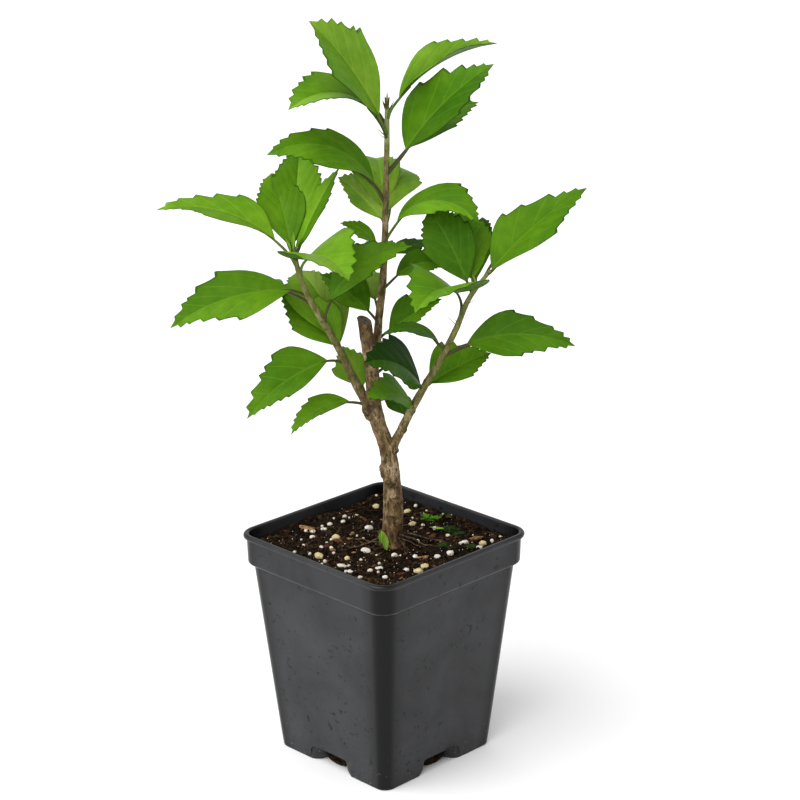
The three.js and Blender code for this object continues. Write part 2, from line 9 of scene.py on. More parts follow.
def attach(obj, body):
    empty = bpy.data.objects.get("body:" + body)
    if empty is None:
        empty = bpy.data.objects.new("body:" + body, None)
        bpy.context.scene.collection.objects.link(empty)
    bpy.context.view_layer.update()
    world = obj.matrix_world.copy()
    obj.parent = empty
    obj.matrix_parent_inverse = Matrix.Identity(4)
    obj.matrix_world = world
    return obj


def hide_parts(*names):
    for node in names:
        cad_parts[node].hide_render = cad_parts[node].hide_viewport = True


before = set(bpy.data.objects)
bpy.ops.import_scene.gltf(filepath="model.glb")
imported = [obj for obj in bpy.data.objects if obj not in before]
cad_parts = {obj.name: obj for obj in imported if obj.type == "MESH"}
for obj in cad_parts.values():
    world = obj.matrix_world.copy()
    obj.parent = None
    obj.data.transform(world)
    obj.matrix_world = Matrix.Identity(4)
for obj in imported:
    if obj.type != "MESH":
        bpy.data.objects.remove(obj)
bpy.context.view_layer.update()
print("frame loaded:", len(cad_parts), "nodes")

mm = 0.001
body = "root"

# The plant is laid out as it is seen from a corner of the pot: u to the right, v away from the
# eye, z up, in millimetres. toPart sets that layout on to the pot, in metres, and toPlant is its inverse.
layout = {"turn": math.radians(45), "scale": 0.99, "place": np.array((0.1, -11.7, 5.9))}


def turned(points, angle):
    points = np.asarray(points, float)
    c, s = math.cos(angle), math.sin(angle)
    x = points[..., 0] * c - points[..., 1] * s
    y = points[..., 0] * s + points[..., 1] * c
    return np.stack([x, y, points[..., 2]], -1)


def toPart(points):
    return turned(layout["place"] + layout["scale"] * np.asarray(points, float), layout["turn"]) * mm


def toPlant(points):
    return (turned(np.asarray(points, float) / mm, -layout["turn"]) - layout["place"]) / layout["scale"]


# Camera, solved from the corners of the pot. Lengths in millimetres, angles in degrees.
view = {
    "lens": 108.0,
    "sensor": 36.0,
    "distance": 1232.3,
    "above": 18.91,
    "right": 8.77,
    "height": 195.4,
    "roll": -0.29,
}

above = math.radians(view["above"])
camera = bpy.data.objects.new("camera", bpy.data.cameras.new("camera"))
bpy.context.scene.collection.objects.link(camera)
camera.data.lens = view["lens"]
camera.data.sensor_width = view["sensor"]
camera.data.clip_end = 50
high = view["height"] + view["distance"] * math.sin(above)
eye = [view["right"], -view["distance"] * math.cos(above), high]
camera.matrix_world = (
    Matrix.Translation(Vector(turned(eye, layout["turn"]) * mm))
    @ Matrix.Rotation(layout["turn"], 4, "Z")
    @ Matrix.Rotation(math.pi / 2 - above, 4, "X")
    @ Matrix.Rotation(math.radians(view["roll"]), 4, "Z")
)
bpy.context.scene.camera = camera
bpy.context.scene.view_settings.view_transform = "Standard"


# Mesh helpers.
def addPiece(name, points, faces, materials, slots=None, smooth=True):
    mesh = bpy.data.meshes.new(name)
    mesh.from_pydata([tuple(p) for p in points], [], [tuple(f) for f in faces])
    for material in materials:
        mesh.materials.append(material)
    if slots is not None:
        mesh.polygons.foreach_set("material_index", np.asarray(slots, np.int32))
    mesh.polygons.foreach_set("use_smooth", np.full(len(mesh.polygons), smooth))
    mesh.update()
    piece = bpy.data.objects.new(name, mesh)
    bpy.context.scene.collection.objects.link(piece)
    return piece


def applyModifiers(piece):
    graph = bpy.context.evaluated_depsgraph_get()
    made = bpy.data.meshes.new_from_object(piece.evaluated_get(graph))
    old = piece.data
    piece.modifiers.clear()
    piece.data = made
    bpy.data.meshes.remove(old)
    return piece


def mergeClose(piece):
    work = bmesh.new()
    work.from_mesh(piece.data)
    bmesh.ops.remove_doubles(work, verts=work.verts, dist=1e-6)
    bmesh.ops.recalc_face_normals(work, faces=work.faces)
    work.to_mesh(piece.data)
    work.free()


# Points and faces of a round ball of radius 1.
def unitBall(subdivisions):
    ball = bmesh.new()
    bmesh.ops.create_icosphere(ball, subdivisions=subdivisions, radius=1)
    points = np.array([v.co[:] for v in ball.verts])
    faces = [[v.index for v in f.verts] for f in ball.faces]
    ball.free()
    return points, faces


class Gather:
    # Collects the points, faces, material numbers and veins of many small shapes for one piece.
    def __init__(self):
        self.points, self.faces, self.slots, self.veins = [], [], [], []

    def add(self, points, faces, slots=0, veins=None):
        first = len(self.points)
        self.points.extend(points)
        self.faces.extend([[first + i for i in f] for f in faces])
        self.slots.extend(slots if hasattr(slots, "__len__") else [slots] * len(faces))
        self.veins.extend([0.0] * len(points) if veins is None else veins)

    # Adds a shape that is given in the plant's layout.
    def addPlant(self, points, *rest):
        self.add(toPart(points), *rest)

    def build(self, name, materials, smooth=True):
        piece = addPiece(name, self.points, self.faces, materials, self.slots, smooth)
        if any(self.veins):
            piece.data.attributes.new("vein", "FLOAT", "POINT").data.foreach_set("value", self.veins)
        return piece


def clamp(value):
    return min(1, max(0, value))


def between(pairs, value):
    return float(np.interp(value, [p[0] for p in pairs], [p[1] for p in pairs]))


# Centripetal curve through the points, at even distances along its length.
def smoothLine(points, count):
    p = np.asarray(points, float)
    p = np.vstack([2 * p[0] - p[1], p, 2 * p[-1] - p[-2]])
    fine = []
    for i in range(len(p) - 3):
        p0, p1, p2, p3 = p[i:i + 4]
        d0, d1, d2 = [max(np.linalg.norm(b - a), 1e-9) ** 0.5 for a, b in ((p0, p1), (p1, p2), (p2, p3))]
        m1 = (p1 - p0) / d0 - (p2 - p0) / (d0 + d1) + (p2 - p1) / d1
        m2 = (p2 - p1) / d1 - (p3 - p1) / (d1 + d2) + (p3 - p2) / d2
        t = np.linspace(0, 1, 24, endpoint=False)[:, None]
        a, b = m1 * d1, m2 * d1
        fine.append((2 * t**3 - 3 * t**2 + 1) * p1 + (t**3 - 2 * t**2 + t) * a
                    + (-2 * t**3 + 3 * t**2) * p2 + (t**3 - t**2) * b)
    fine = np.vstack(fine + [p[-2][None]])
    run = np.concatenate([[0], np.cumsum(np.linalg.norm(np.diff(fine, axis=0), axis=1))])
    at = np.linspace(0, run[-1], count)
    return np.stack([np.interp(at, run, fine[:, k]) for k in range(3)], 1)


# Faces between rings of points that lie one after the other.
def ringFaces(rings, count):
    faces = []
    for i in range(rings - 1):
        for j in range(count):
            k = (j + 1) % count
            faces.append((i * count + j, i * count + k, (i + 1) * count + k, (i + 1) * count + j))
    return faces


# Round tube with closed ends. radiusAt(share, angle) gives the radius at a share of the length.
def tube(line, radiusAt, sides):
    along = np.gradient(line, axis=0)
    along /= np.linalg.norm(along, axis=1)[:, None]
    across = np.array((0.0, -1.0, 0.0))
    angles = np.arange(sides) * 2 * np.pi / sides
    points = []
    for i, centre in enumerate(line):
        across = across - along[i] * (across @ along[i])
        across /= np.linalg.norm(across)
        other = np.cross(along[i], across)
        r = np.array([radiusAt(i / (len(line) - 1), a) for a in angles])[:, None]
        points.append(centre + r * (np.cos(angles)[:, None] * across + np.sin(angles)[:, None] * other))
    points = np.vstack(points + [line[:1], line[-1:]])
    hub = len(points) - 2
    faces = ringFaces(len(line), sides)
    last = (len(line) - 1) * sides
    faces += [((j + 1) % sides, j, hub) for j in range(sides)]
    faces += [(last + j, last + (j + 1) % sides, hub + 1) for j in range(sides)]
    return points, faces


# One tree of nodes. An input may be a number, a colour, a socket, or a node for its first output.
class Tree:
    def __init__(self, tree):
        self.tree = tree

    def feed(self, socket, value):
        if isinstance(value, bpy.types.Node):
            value = value.outputs[0]
        if isinstance(value, bpy.types.NodeSocket):
            self.tree.links.new(value, socket)
        else:
            socket.default_value = (*value, 1) if socket.type == "RGBA" else value

    def add(self, kind, inputs=None, **settings):
        made = self.tree.nodes.new(kind)
        for key, value in settings.items():
            setattr(made, key, value)
        for key, value in (inputs or {}).items():
            self.feed(made.inputs[key], value)
        return made

    def math(self, operation, a, b=0.0):
        return self.add("ShaderNodeMath", {0: a, 1: b}, operation=operation)

    def times(self, a, b):
        return self.math("MULTIPLY", a, b)


# The tree of one material.
class Skin(Tree):
    def __init__(self, name, roughness, specular=0.5):
        self.material = bpy.data.materials.new(name)
        self.material.use_nodes = True
        super().__init__(self.material.node_tree)
        self.shader = self.tree.nodes["Principled BSDF"].inputs
        self.set("Roughness", roughness)
        self.set("Specular IOR Level", specular)

    def set(self, label, value):
        self.feed(self.shader[label], value)

    def place(self, scale=(1, 1, 1), turn=(0, 0, 0)):
        source = self.add("ShaderNodeTexCoord").outputs["Object"]
        return self.add("ShaderNodeMapping", {"Vector": source, "Scale": scale, "Rotation": turn})

    def noise(self, place, scale, detail=4.0, rough=0.55, warp=0.0):
        return self.add("ShaderNodeTexNoise", {"Vector": place, "Scale": scale, "Detail": detail,
                                               "Roughness": rough, "Distortion": warp})

    def ramp(self, factor, *stops):
        made = self.add("ShaderNodeValToRGB", {"Fac": factor})
        points = made.color_ramp.elements
        while len(points) < len(stops):
            points.new(0.5)
        for point, (position, colour) in zip(points, stops):
            point.position = position
            point.color = (*colour, 1) if hasattr(colour, "__len__") else (colour, colour, colour, 1)
        return made

    def mix(self, factor, first, second, blend="MIX"):
        inputs = {0: factor, 6: first, 7: second}
        return self.add("ShaderNodeMix", inputs, data_type="RGBA", blend_type=blend).outputs[2]

    def attribute(self, name):
        return self.add("ShaderNodeAttribute", attribute_name=name).outputs["Fac"]

    def rise(self, height, low, high, most):
        return self.add("ShaderNodeMapRange", {"Value": height, "From Min": low, "From Max": high,
                                               "To Min": 0.0, "To Max": most})

    def bump(self, height, strength, distance):
        self.set("Normal", self.add("ShaderNodeBump", {"Height": height, "Strength": strength,
                                                       "Distance": distance}))


# Dark satin plastic: a faint haze and fine scratches on the flats, rounded corners darkened to black as
# painted shade, a painted highlight line under the collar, dull stains, and pale dust that gathers low on the
# pot.
def potPlastic():
    skin = Skin("potPlastic", 0.4)
    place = skin.place()
    split = skin.add("ShaderNodeSeparateXYZ", {"Vector": place}).outputs
    across, along = skin.math("ABSOLUTE", split["X"]), skin.math("ABSOLUTE", split["Y"])
    least, most = skin.math("MINIMUM", across, along), skin.math("MAXIMUM", across, along)
    # Painted shade: the rounded corners get a near-black base colour, and their own gloss and roughness.
    corner = skin.ramp(skin.math("DIVIDE", least, most), (0.68, 0.0), (0.9, 1.0))
    cloud = skin.noise(place, 26, 6, 0.62, 0.5)
    flats = skin.ramp(cloud, (0.3, (0.011, 0.0113, 0.0125)), (0.7, (0.03, 0.0305, 0.0335)))
    base = skin.mix(corner, flats, (0.004, 0.0041, 0.0045))
    speck = skin.ramp(skin.noise(place, 620, 2, 0.4), (0.68, 0.0), (0.72, 1.0))
    base = skin.mix(skin.times(speck, skin.rise(split["Z"], 0.022, 0.0, 0.5)), base, (0.22, 0.19, 0.12))
    # Painted highlight: a thin band at the foot of the collar is painted lighter.
    under = skin.math("COMPARE", split["Z"], 0.1062)
    under.inputs[2].default_value = 0.00035
    base = skin.mix(skin.times(under, skin.ramp(cloud, (0.3, 0.25), (0.6, 1.0))), base, (0.09, 0.09, 0.09))
    scratch = skin.noise(skin.place((1, 1, 0.06), (0.25, 0.15, 0)), 900, 2, 0.5)
    base = skin.mix(skin.times(skin.ramp(scratch, (0.7, 0.0), (0.76, 1.0)), 0.1), base, (0.1, 0.1, 0.1))
    spots = skin.ramp(skin.noise(place, 260, 4, 0.65, 0.3), (0.59, 0.0), (0.65, 1.0))
    stain = skin.times(spots, skin.ramp(skin.noise(place, 33, 2), (0.36, 0.0), (0.52, 0.9)))
    skin.set("Base Color", skin.mix(stain, base, (0.005, 0.005, 0.005)))
    gloss = skin.mix(corner, skin.ramp(stain, (0.0, 0.24), (1.0, 0.16)), (0.17, 0.17, 0.17))
    rim = skin.math("GREATER_THAN", split["Z"], 0.1205)
    skin.set("Specular IOR Level", skin.mix(rim, gloss, (0.28, 0.28, 0.28)))
    worn = skin.ramp(skin.noise(place, 55, 6, 0.65), (0.3, 0.36), (0.75, 0.48))
    skin.set("Roughness", skin.mix(corner, worn, (0.28, 0.28, 0.28)))
    skin.bump(skin.noise(place, 1400, 3, 0.6), 0.1, 0.0002)
    return skin.material


def earth(name, dark, light, scale, roughness=0.95, patchy=False):
    skin = Skin(name, roughness, 0.04)
    place = skin.place()
    colour = skin.ramp(skin.noise(place, scale, 6, 0.65), (0.38, dark), (0.66, light))
    if patchy:
        broad = skin.ramp(skin.noise(place, 60, 2, 0.5), (0.4, (0.4, 0.38, 0.36)), (0.62, (1.5, 1.45, 1.4)))
        colour = skin.mix(1.0, colour, broad, "MULTIPLY")
    skin.set("Base Color", colour)
    skin.bump(skin.noise(place, scale * 2.4, 5, 0.7), 0.6, 0.0006)
    return skin.material


# Bark: golden brown and grey patches, speckled with fine cracks and pits, darker and redder towards the soil,
# dark in the scars, with painted shade in the knots' pits and round their feet, in the hollow and under the
# ridges, turning olive and green with youth.
def barkSkin():
    skin = Skin("barkSkin", 0.75, 0.15)
    place = skin.place()
    patch = skin.noise(skin.place((1, 1, 0.5)), 230, 5, 0.62, 0.4)
    old = skin.ramp(patch, (0.36, (0.075, 0.043, 0.016)), (0.5, (0.185, 0.122, 0.056)),
                    (0.63, (0.34, 0.25, 0.145)))
    cracks = skin.noise(skin.place((1, 1, 0.36)), 720, 4, 0.66, 0.4)
    dark = skin.math("MAXIMUM", skin.ramp(cracks, (0.38, 0.92), (0.49, 0.0)),
                     skin.ramp(skin.noise(place, 1250, 3, 0.6), (0.36, 0.8), (0.45, 0.0)))
    old = skin.mix(dark, old, (0.035, 0.021, 0.01))
    height = skin.add("ShaderNodeSeparateXYZ", {"Vector": place}).outputs["Z"]
    # Darker and redder towards the soil.
    lowTone = skin.mix(1.0, old, (0.62, 0.5, 0.38), "MULTIPLY")
    old = skin.mix(skin.rise(height, 0.15, 0.118, 0.7), old, lowTone)
    green = skin.ramp(patch, (0.3, (0.1, 0.125, 0.02)), (0.7, (0.19, 0.21, 0.06)))
    green = skin.mix(skin.times(dark, 0.3), green, (0.05, 0.045, 0.012))
    youth = skin.attribute("youth")
    green = skin.mix(skin.ramp(youth, (0.88, 0.0), (1.0, 1.0)), green, (0.24, 0.27, 0.1))
    # Darker in the scars, and painted shade in the knots' pits and round their feet, in the hollow and under
    # the ridges.
    whole = skin.mix(skin.attribute("scarAndShade"), skin.mix(youth, old, green), (0.018, 0.011, 0.006))
    skin.set("Base Color", whole)
    skin.bump(skin.math("SUBTRACT", patch, dark), 0.5, 0.0004)
    return skin.material


def cutWood():
    skin = Skin("cutWood", 0.85)
    place = skin.place()
    rings = skin.noise(place, 500, 4, 0.6)
    skin.set("Base Color", skin.ramp(rings, (0.35, (0.05, 0.035, 0.025)), (0.65, (0.2, 0.14, 0.09))))
    skin.bump(skin.noise(place, 1500, 3), 0.5, 0.0003)
    return skin.material


# Living leaf: one base colour for each shade, paler and deeper by turns over the blade, with pale
# veins, faint mottling and a fine net in the surface.
def leafSkin(name, colour, roughness=0.42, gloss=0.05, spread=0.12):
    skin = Skin(name, roughness, gloss)
    place = skin.place()
    dark, light = (tuple(c * (1 + side * spread) for c in colour) for side in (-1, 1))
    mottled = skin.ramp(skin.noise(place, 210, 4, 0.6), (0.3, dark), (0.7, light))
    broad = skin.ramp(skin.noise(place, 45, 2, 0.5), (0.35, (0.8, 0.88, 0.8)), (0.65, (1.18, 1.1, 1.2)))
    vein = skin.ramp(skin.attribute("vein"), (0.6, 0.0), (0.95, 0.62))
    pale = tuple(c * k + d for c, k, d in zip(colour, (1.35, 1.2, 1.4), (0.025, 0.035, 0.008)))
    skin.set("Base Color", skin.mix(vein, skin.mix(1.0, mottled, broad, "MULTIPLY"), pale))
    cells = skin.add("ShaderNodeTexVoronoi", {"Vector": place, "Scale": 620.0}, feature="DISTANCE_TO_EDGE")
    skin.bump(skin.ramp(cells.outputs["Distance"], (0.0, 0.0), (0.12, 1.0)), 0.2, 0.00012)
    return skin.material


# Leaf base colours: black to pale are lit and shaded copies of one green, set per leaf and per half as
# painted light and shade over the leaves' own differences in tone; under, edge and browned are fixed colours
# for the underside, the thin edge and brown tips.
greensAndPaintedLight = {
    "black": (0.01, 0.04, 0.001),
    "dark": (0.018, 0.062, 0.0015),
    "deep": (0.029, 0.09, 0.002),
    "cool": (0.043, 0.125, 0.003),
    "mid": (0.062, 0.165, 0.004),
    "warm": (0.085, 0.21, 0.006),
    "bright": (0.115, 0.26, 0.01),
    "fresh": (0.155, 0.305, 0.022),
    "pale": (0.2, 0.34, 0.04),
    "under": (0.075, 0.15, 0.025),
    "edge": (0.014, 0.045, 0.003),
    "browned": (0.05, 0.045, 0.01),
}
leafMaterials = [leafSkin("leaf" + name[0].upper() + name[1:], colour) for name, colour in greensAndPaintedLight.items()]
shadeNumber = {name: i for i, name in enumerate(greensAndPaintedLight)}
barkMaterial = barkSkin()
print("materials ready")


# Pot: the same sizes as its solid, with rounded edges and finer corners.
pot = {
    "height": 123, "topHalf": 55, "topRadius": 10, "lip": 3, "collarTopHalf": 53.7, "collarFootHalf": 53.3,
    "collarFoot": 105.5, "collarRound": 2, "bodyTopHalf": 51, "footHalf": 40.5, "footRadius": 6, "wall": 1.3,
    "floor": 2, "edge": 0.8, "footWall": 8.6, "footWallHeight": 11, "footRound": 7, "notchWidth": 30,
    "notchHeight": 9, "notchRound": 5, "notchFlare": 4, "cornerSteps": 14, "sideSteps": 6, "bow": 0.3,
}


def cornerPoint(half, radius, corner, turn):
    hub, angle = math.radians(90 * corner + 45), math.radians(90 * (corner + turn))
    reach = (half - radius) * math.sqrt(2)
    return reach * math.cos(hub) + radius * math.cos(angle), reach * math.sin(hub) + radius * math.sin(angle)


# Rounded square, counter-clockwise from above, whose flat sides bow out a little at their middle.
def squareRing(half, radius, height, steps, sideSteps, bow=0.0):
    ring = []
    for corner in range(4):
        for step in range(steps + 1):
            ring.append((*cornerPoint(half, radius, corner, step / steps), height))
        a, b = ring[-1], cornerPoint(half, radius, corner + 1, 0)
        out = math.radians(90 * (corner + 1))
        for step in range(1, sideSteps):
            t = step / sideSteps
            push = bow * math.sin(math.pi * t)
            ring.append((a[0] + (b[0] - a[0]) * t + push * math.cos(out),
                         a[1] + (b[1] - a[1]) * t + push * math.sin(out), height))
    return ring


def cornerRadius(height):
    return pot["footRadius"] + (pot["topRadius"] - pot["footRadius"]) * height / pot["height"]


def loft(rings):
    count = len(rings[0])
    points = [p for ring in rings for p in ring]
    faces = ringFaces(len(rings), count)
    for ring, outward in ((0, False), (len(rings) - 1, True)):
        hub = len(points)
        points.append(tuple(np.mean(rings[ring], axis=0)))
        for j in range(count):
            a, b = ring * count + j, ring * count + (j + 1) % count
            faces.append((a, b, hub) if outward else (b, a, hub))
    return points, faces


def bodyHalf(height):
    return pot["footHalf"] + (pot["bodyTopHalf"] - pot["footHalf"]) * height / pot["collarFoot"]


# Rings of the pot's wall, from its foot over the lip and down inside. Each is listed as its height, its
# half width and how far its sides bow.
def potRings():
    w, foot, top, lip = pot["wall"], pot["collarFoot"], pot["height"], pot["height"] - pot["lip"]
    edge, bend, feet = pot["edge"], pot["collarRound"], pot["footWallHeight"]
    neck, collarFoot, collarTop = pot["bodyTopHalf"], pot["collarFootHalf"], pot["collarTopHalf"]
    outer = [(edge * (1 - math.cos(a)), pot["footHalf"] - edge * (1 - math.sin(a)))
             for a in np.radians(np.linspace(0, 90, 5))]
    outer += [(share * foot, bodyHalf(share * foot), pot["bow"] * math.sin(math.pi * share))
              for share in np.linspace(0.06, 0.96, 12)]
    outer += [(foot - 0.9, neck - 0.08), (foot - 0.3, neck + 0.02), (foot - 0.05, neck + 0.2)]
    outer += [(foot + bend * (1 - math.sin(a)), collarFoot - bend * (1 - math.cos(a)))
              for a in np.radians(np.linspace(85, 0, 8))]
    outer += [(lip - 0.8, collarTop), (lip - 0.2, collarTop + 0.08), (lip, collarTop + 0.3)]
    outer += [(lip + 1.5 + 1.5 * math.sin(a), pot["topHalf"] - 1.1 + 1.1 * math.cos(a))
              for a in np.radians(np.linspace(-70, 90, 9))]
    inside = collarTop - w
    inner = [(top - 0.05, inside + 0.6), (top - 0.35, inside + 0.15), (top - 1, inside), (lip, inside),
             (foot + bend, collarFoot - w), (foot, neck - w), (foot / 2, bodyHalf(foot / 2) - w),
             (feet + w, bodyHalf(feet + w) - w), (feet, bodyHalf(feet) - pot["footWall"]),
             (pot["floor"], bodyHalf(pot["floor"]) - pot["footWall"])]
    steps = pot["cornerSteps"], pot["sideSteps"]
    rings = [squareRing(half, cornerRadius(z), z, *steps, *bow) for z, half, *bow in outer]
    rings += [squareRing(half, cornerRadius(z) - w, z, *steps) for z, half in inner]
    return [np.array(ring) * mm for ring in rings]


# Cutter for one drain notch: flat on top with round upper corners, flared at the bottom, narrowing
# inwards as the feet's upright edges round off.
def notchRings():
    high, bend, rounding = pot["notchHeight"], pot["notchRound"], pot["footRound"]
    flare = pot["notchFlare"]
    rings = []
    for depth in (-2, 0, 0.25, 0.6, 1.1, 1.8, 2.7, 3.8, 5, 6.2, 7, pot["footWall"] + 1):
        left = min(rounding, max(0, rounding - depth))
        half = pot["notchWidth"] / 2 - math.sqrt(rounding**2 - left**2)
        arch = [(half + 0.3, 2.4), (half + flare, -2), (-half - flare, -2), (-half - 0.3, 2.4)]
        bends = [(bend * (1 - math.cos(a)), bend * (1 - math.sin(a)))
                 for a in np.radians(np.linspace(0, 90, 8))]
        arch += [(-half + a, high - b) for a, b in bends] + [(half - b, high - a) for a, b in bends]
        rings.append([(x, depth - pot["footHalf"], z) for x, z in arch])
    return rings


def buildPot():
    shell = addPiece("potShell", *loft(potRings()), [potPlastic()])
    cutter = Gather()
    points, faces = loft(notchRings())
    for side in range(4):
        cutter.add(turned(np.array(points) * mm, math.radians(90 * side)), faces)
    tool = cutter.build("notchTool", [], False)
    mergeClose(tool)
    cut = shell.modifiers.new("notches", "BOOLEAN")
    cut.operation, cut.solver, cut.object = "DIFFERENCE", "EXACT", tool
    applyModifiers(shell)
    bpy.data.objects.remove(tool)
    shell.data.set_sharp_from_angle(angle=math.radians(50))
    weigh = shell.modifiers.new("weigh", "WEIGHTED_NORMAL")
    weigh.keep_sharp = True
    applyModifiers(shell)
    return shell


potShell = buildPot()
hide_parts("pot")
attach(potShell, body)
print("pot built")


# Soil: the bed fills the pot, and crumbs, fibres, chips and white grains lie on it.
soil = {
    "level": 117.3, "uneven": 0.8, "wave": 10, "pressed": 16, "rings": 84, "sideSteps": 56, "cornerSteps": 12,
    "rimDrop": 0.8, "clods": 0.9, "grit": 0.5, "foot": (4.2, 8.0), "gap": 0.3, "patchReach": 50.2,
    "patchCorner": 8, "patchStep": 1.5,
}


def soilHeight(x, y):
    foot = toPart([*soil["foot"], 0]) / mm
    away = math.hypot(x - foot[0], y - foot[1])
    t = clamp((away - soil["pressed"]) / soil["pressed"])
    fade = t * t * (3 - 2 * t)
    wave = math.sin(x / soil["wave"]) * math.cos(y / soil["wave"])
    wave += 0.5 * math.sin((1.9 * x + y) / soil["wave"])
    place = Vector((x, y, 3.0))
    clods = noise.fractal(place / 7, 0.8, 2.1, 4) * soil["clods"]
    grit = noise.fractal(place / 1.8, 0.9, 2.0, 3) * soil["grit"]
    return soil["level"] + fade * soil["uneven"] * wave + clods + grit


# The place in the plant's layout that lies a lift above the soil at u, v.
def onSoil(u, v, lift=0.0):
    x, y, _ = toPart([u, v, 0]) / mm
    return u, v, (soilHeight(x, y) + lift - layout["place"][2]) / layout["scale"]


def buildSoil():
    gap, w, feet, foot = soil["gap"], pot["wall"], pot["footWallHeight"], pot["collarFoot"]
    steps = [(height, bodyHalf(height) - pot["footWall"]) for height in (pot["floor"], feet)]
    steps += [(feet + w, bodyHalf(feet + w) - w), (foot, pot["bodyTopHalf"] - w),
              (foot + pot["collarRound"], pot["collarFootHalf"] - w)]
    sides = soil["cornerSteps"], soil["sideSteps"]
    rings = [squareRing(half - gap, cornerRadius(z) - w - gap, z + gap, *sides) for z, half in steps]
    rimShare = (soil["level"] - foot) / (pot["height"] - pot["lip"] - foot)
    rimHalf = pot["collarFootHalf"] + (pot["collarTopHalf"] - pot["collarFootHalf"]) * rimShare - w - gap
    rim = squareRing(rimHalf, cornerRadius(soil["level"]) - w - gap, 0, *sides)
    for i in range(soil["rings"]):
        share = 1 - i / soil["rings"]
        ring = [(x * share, y * share) for x, y, _ in rim]
        rings.append([(x, y, soilHeight(x, y) - (soil["rimDrop"] if i == 0 else 0)) for x, y in ring])
    points, faces = loft(rings)
    return addPiece("soilBed", np.array(points) * mm, faces, [
        earth("peat", (0.004, 0.003, 0.002), (0.018, 0.011, 0.007), 320)])


soilBed = buildSoil()
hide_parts("soil")
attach(soilBed, body)


def insidePot(x, y):
    corner = soil["patchCorner"]
    a, b = (abs(value) - (soil["patchReach"] - corner) for value in (x, y))
    return max(a, b) < corner if min(a, b) < 0 else math.hypot(a, b) < corner


# Points and faces of the soil's top, on which the small things are strewn.
def soilPatch():
    reach, step = soil["patchReach"], soil["patchStep"]
    count = int(2 * reach / step)
    axis = np.linspace(-reach, reach, count + 1)
    points = [(x * mm, y * mm, soilHeight(x, y) * mm) for y in axis for x in axis]
    faces = []
    for j in range(count):
        for i in range(count):
            if insidePot(axis[i] + step / 2, axis[j] + step / 2):
                a = j * (count + 1) + i
                faces.append((a, a + 1, a + count + 2, a + count + 1))
    return points, faces


# One tree for everything that is strewn: lumps of a set shape, laid at random on a patch.
def strewTree(name, material, flat):
    group = bpy.data.node_groups.new(name, "GeometryNodeTree")
    tree = Tree(group)
    for label, kind in (("Geometry", "Geometry"), ("Density", "Float"), ("Seed", "Int"),
                        ("Smallest", "Float"), ("Largest", "Float"), ("Shape", "Vector"),
                        ("Lumps", "Float"), ("Lift", "Float"), ("Tilt", "Float")):
        group.interface.new_socket(label, in_out="INPUT", socket_type="NodeSocket" + kind)
    group.interface.new_socket("Geometry", in_out="OUTPUT", socket_type="NodeSocketGeometry")
    given = tree.add("NodeGroupInput").outputs
    spread = tree.add("GeometryNodeDistributePointsOnFaces",
                      {"Mesh": given["Geometry"], "Density": given["Density"], "Seed": given["Seed"]})
    lump = tree.add("GeometryNodeMeshIcoSphere", {"Radius": 1.0, "Subdivisions": 2})
    spot = tree.add("GeometryNodeInputPosition")
    rough = tree.add("ShaderNodeTexNoise", {"Vector": spot, "Scale": 1.1, "Detail": 1.0})
    pull = tree.times(tree.math("SUBTRACT", rough, 0.5), given["Lumps"])
    away = tree.add("ShaderNodeVectorMath", {0: spot, "Scale": pull}, operation="SCALE")
    lumpy = tree.add("GeometryNodeSetPosition", {"Geometry": lump, "Offset": away})
    high = tree.add("ShaderNodeCombineXYZ", {"Z": given["Lift"]})
    lifted = tree.add("GeometryNodeSetPosition", {"Geometry": spread, "Offset": high})
    size = tree.add("FunctionNodeRandomValue",
                    {"Seed": given["Seed"], 2: given["Smallest"], 3: given["Largest"]}, data_type="FLOAT")
    scale = tree.add("ShaderNodeVectorMath", {0: given["Shape"], "Scale": size.outputs[1]}, operation="SCALE")
    less = tree.times(given["Tilt"], -1.0)
    lowest = tree.add("ShaderNodeCombineXYZ", {"X": less, "Y": less, "Z": 0.0})
    highest = tree.add("ShaderNodeCombineXYZ", {"X": given["Tilt"], "Y": given["Tilt"], "Z": 6.283})
    spin = tree.add("FunctionNodeRandomValue", {"Seed": given["Seed"], 0: lowest, 1: highest},
                    data_type="FLOAT_VECTOR")
    placed = tree.add("GeometryNodeInstanceOnPoints",
                      {"Points": lifted, "Instance": lumpy, "Rotation": spin, "Scale": scale})
    real = tree.add("GeometryNodeRealizeInstances", {"Geometry": placed})
    shaded = tree.add("GeometryNodeSetShadeSmooth", {"Geometry": real, "Shade Smooth": not flat})
    dressed = tree.add("GeometryNodeSetMaterial", {"Geometry": shaded, "Material": material})
    tree.add("NodeGroupOutput", {"Geometry": dressed})
    return group


def strew(name, material, flat, *values):
    made = addPiece(name, *soilTop, [material])
    modifier = made.modifiers.new("strew", "NODES")
    modifier.node_group = strewTree(name, material, flat)
    sockets = [s.identifier for s in modifier.node_group.interface.items_tree if s.in_out == "INPUT"]
    for socket, value in zip(sockets[1:], values):
        modifier[socket] = value
    applyModifiers(made)
    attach(made, body)


soilTop = soilPatch()
peatCrumb = earth("peatCrumb", (0.002, 0.0015, 0.001), (0.055, 0.032, 0.016), 300, patchy=True)
rootFibre = earth("rootFibre", (0.014, 0.008, 0.004), (0.1, 0.058, 0.028), 300)
paleGrain = earth("paleGrain", (0.54, 0.5, 0.42), (0.8, 0.76, 0.68), 500, 0.7)
creamGrain = earth("creamGrain", (0.48, 0.38, 0.17), (0.72, 0.62, 0.38), 450, 0.6)
tanChip = earth("tanChip", (0.14, 0.07, 0.028), (0.36, 0.22, 0.1), 350)
redChip = earth("redChip", (0.035, 0.014, 0.007), (0.13, 0.055, 0.028), 350)
mossGreen = earth("mossGreen", (0.006, 0.018, 0.004), (0.03, 0.062, 0.012), 500, 0.8)

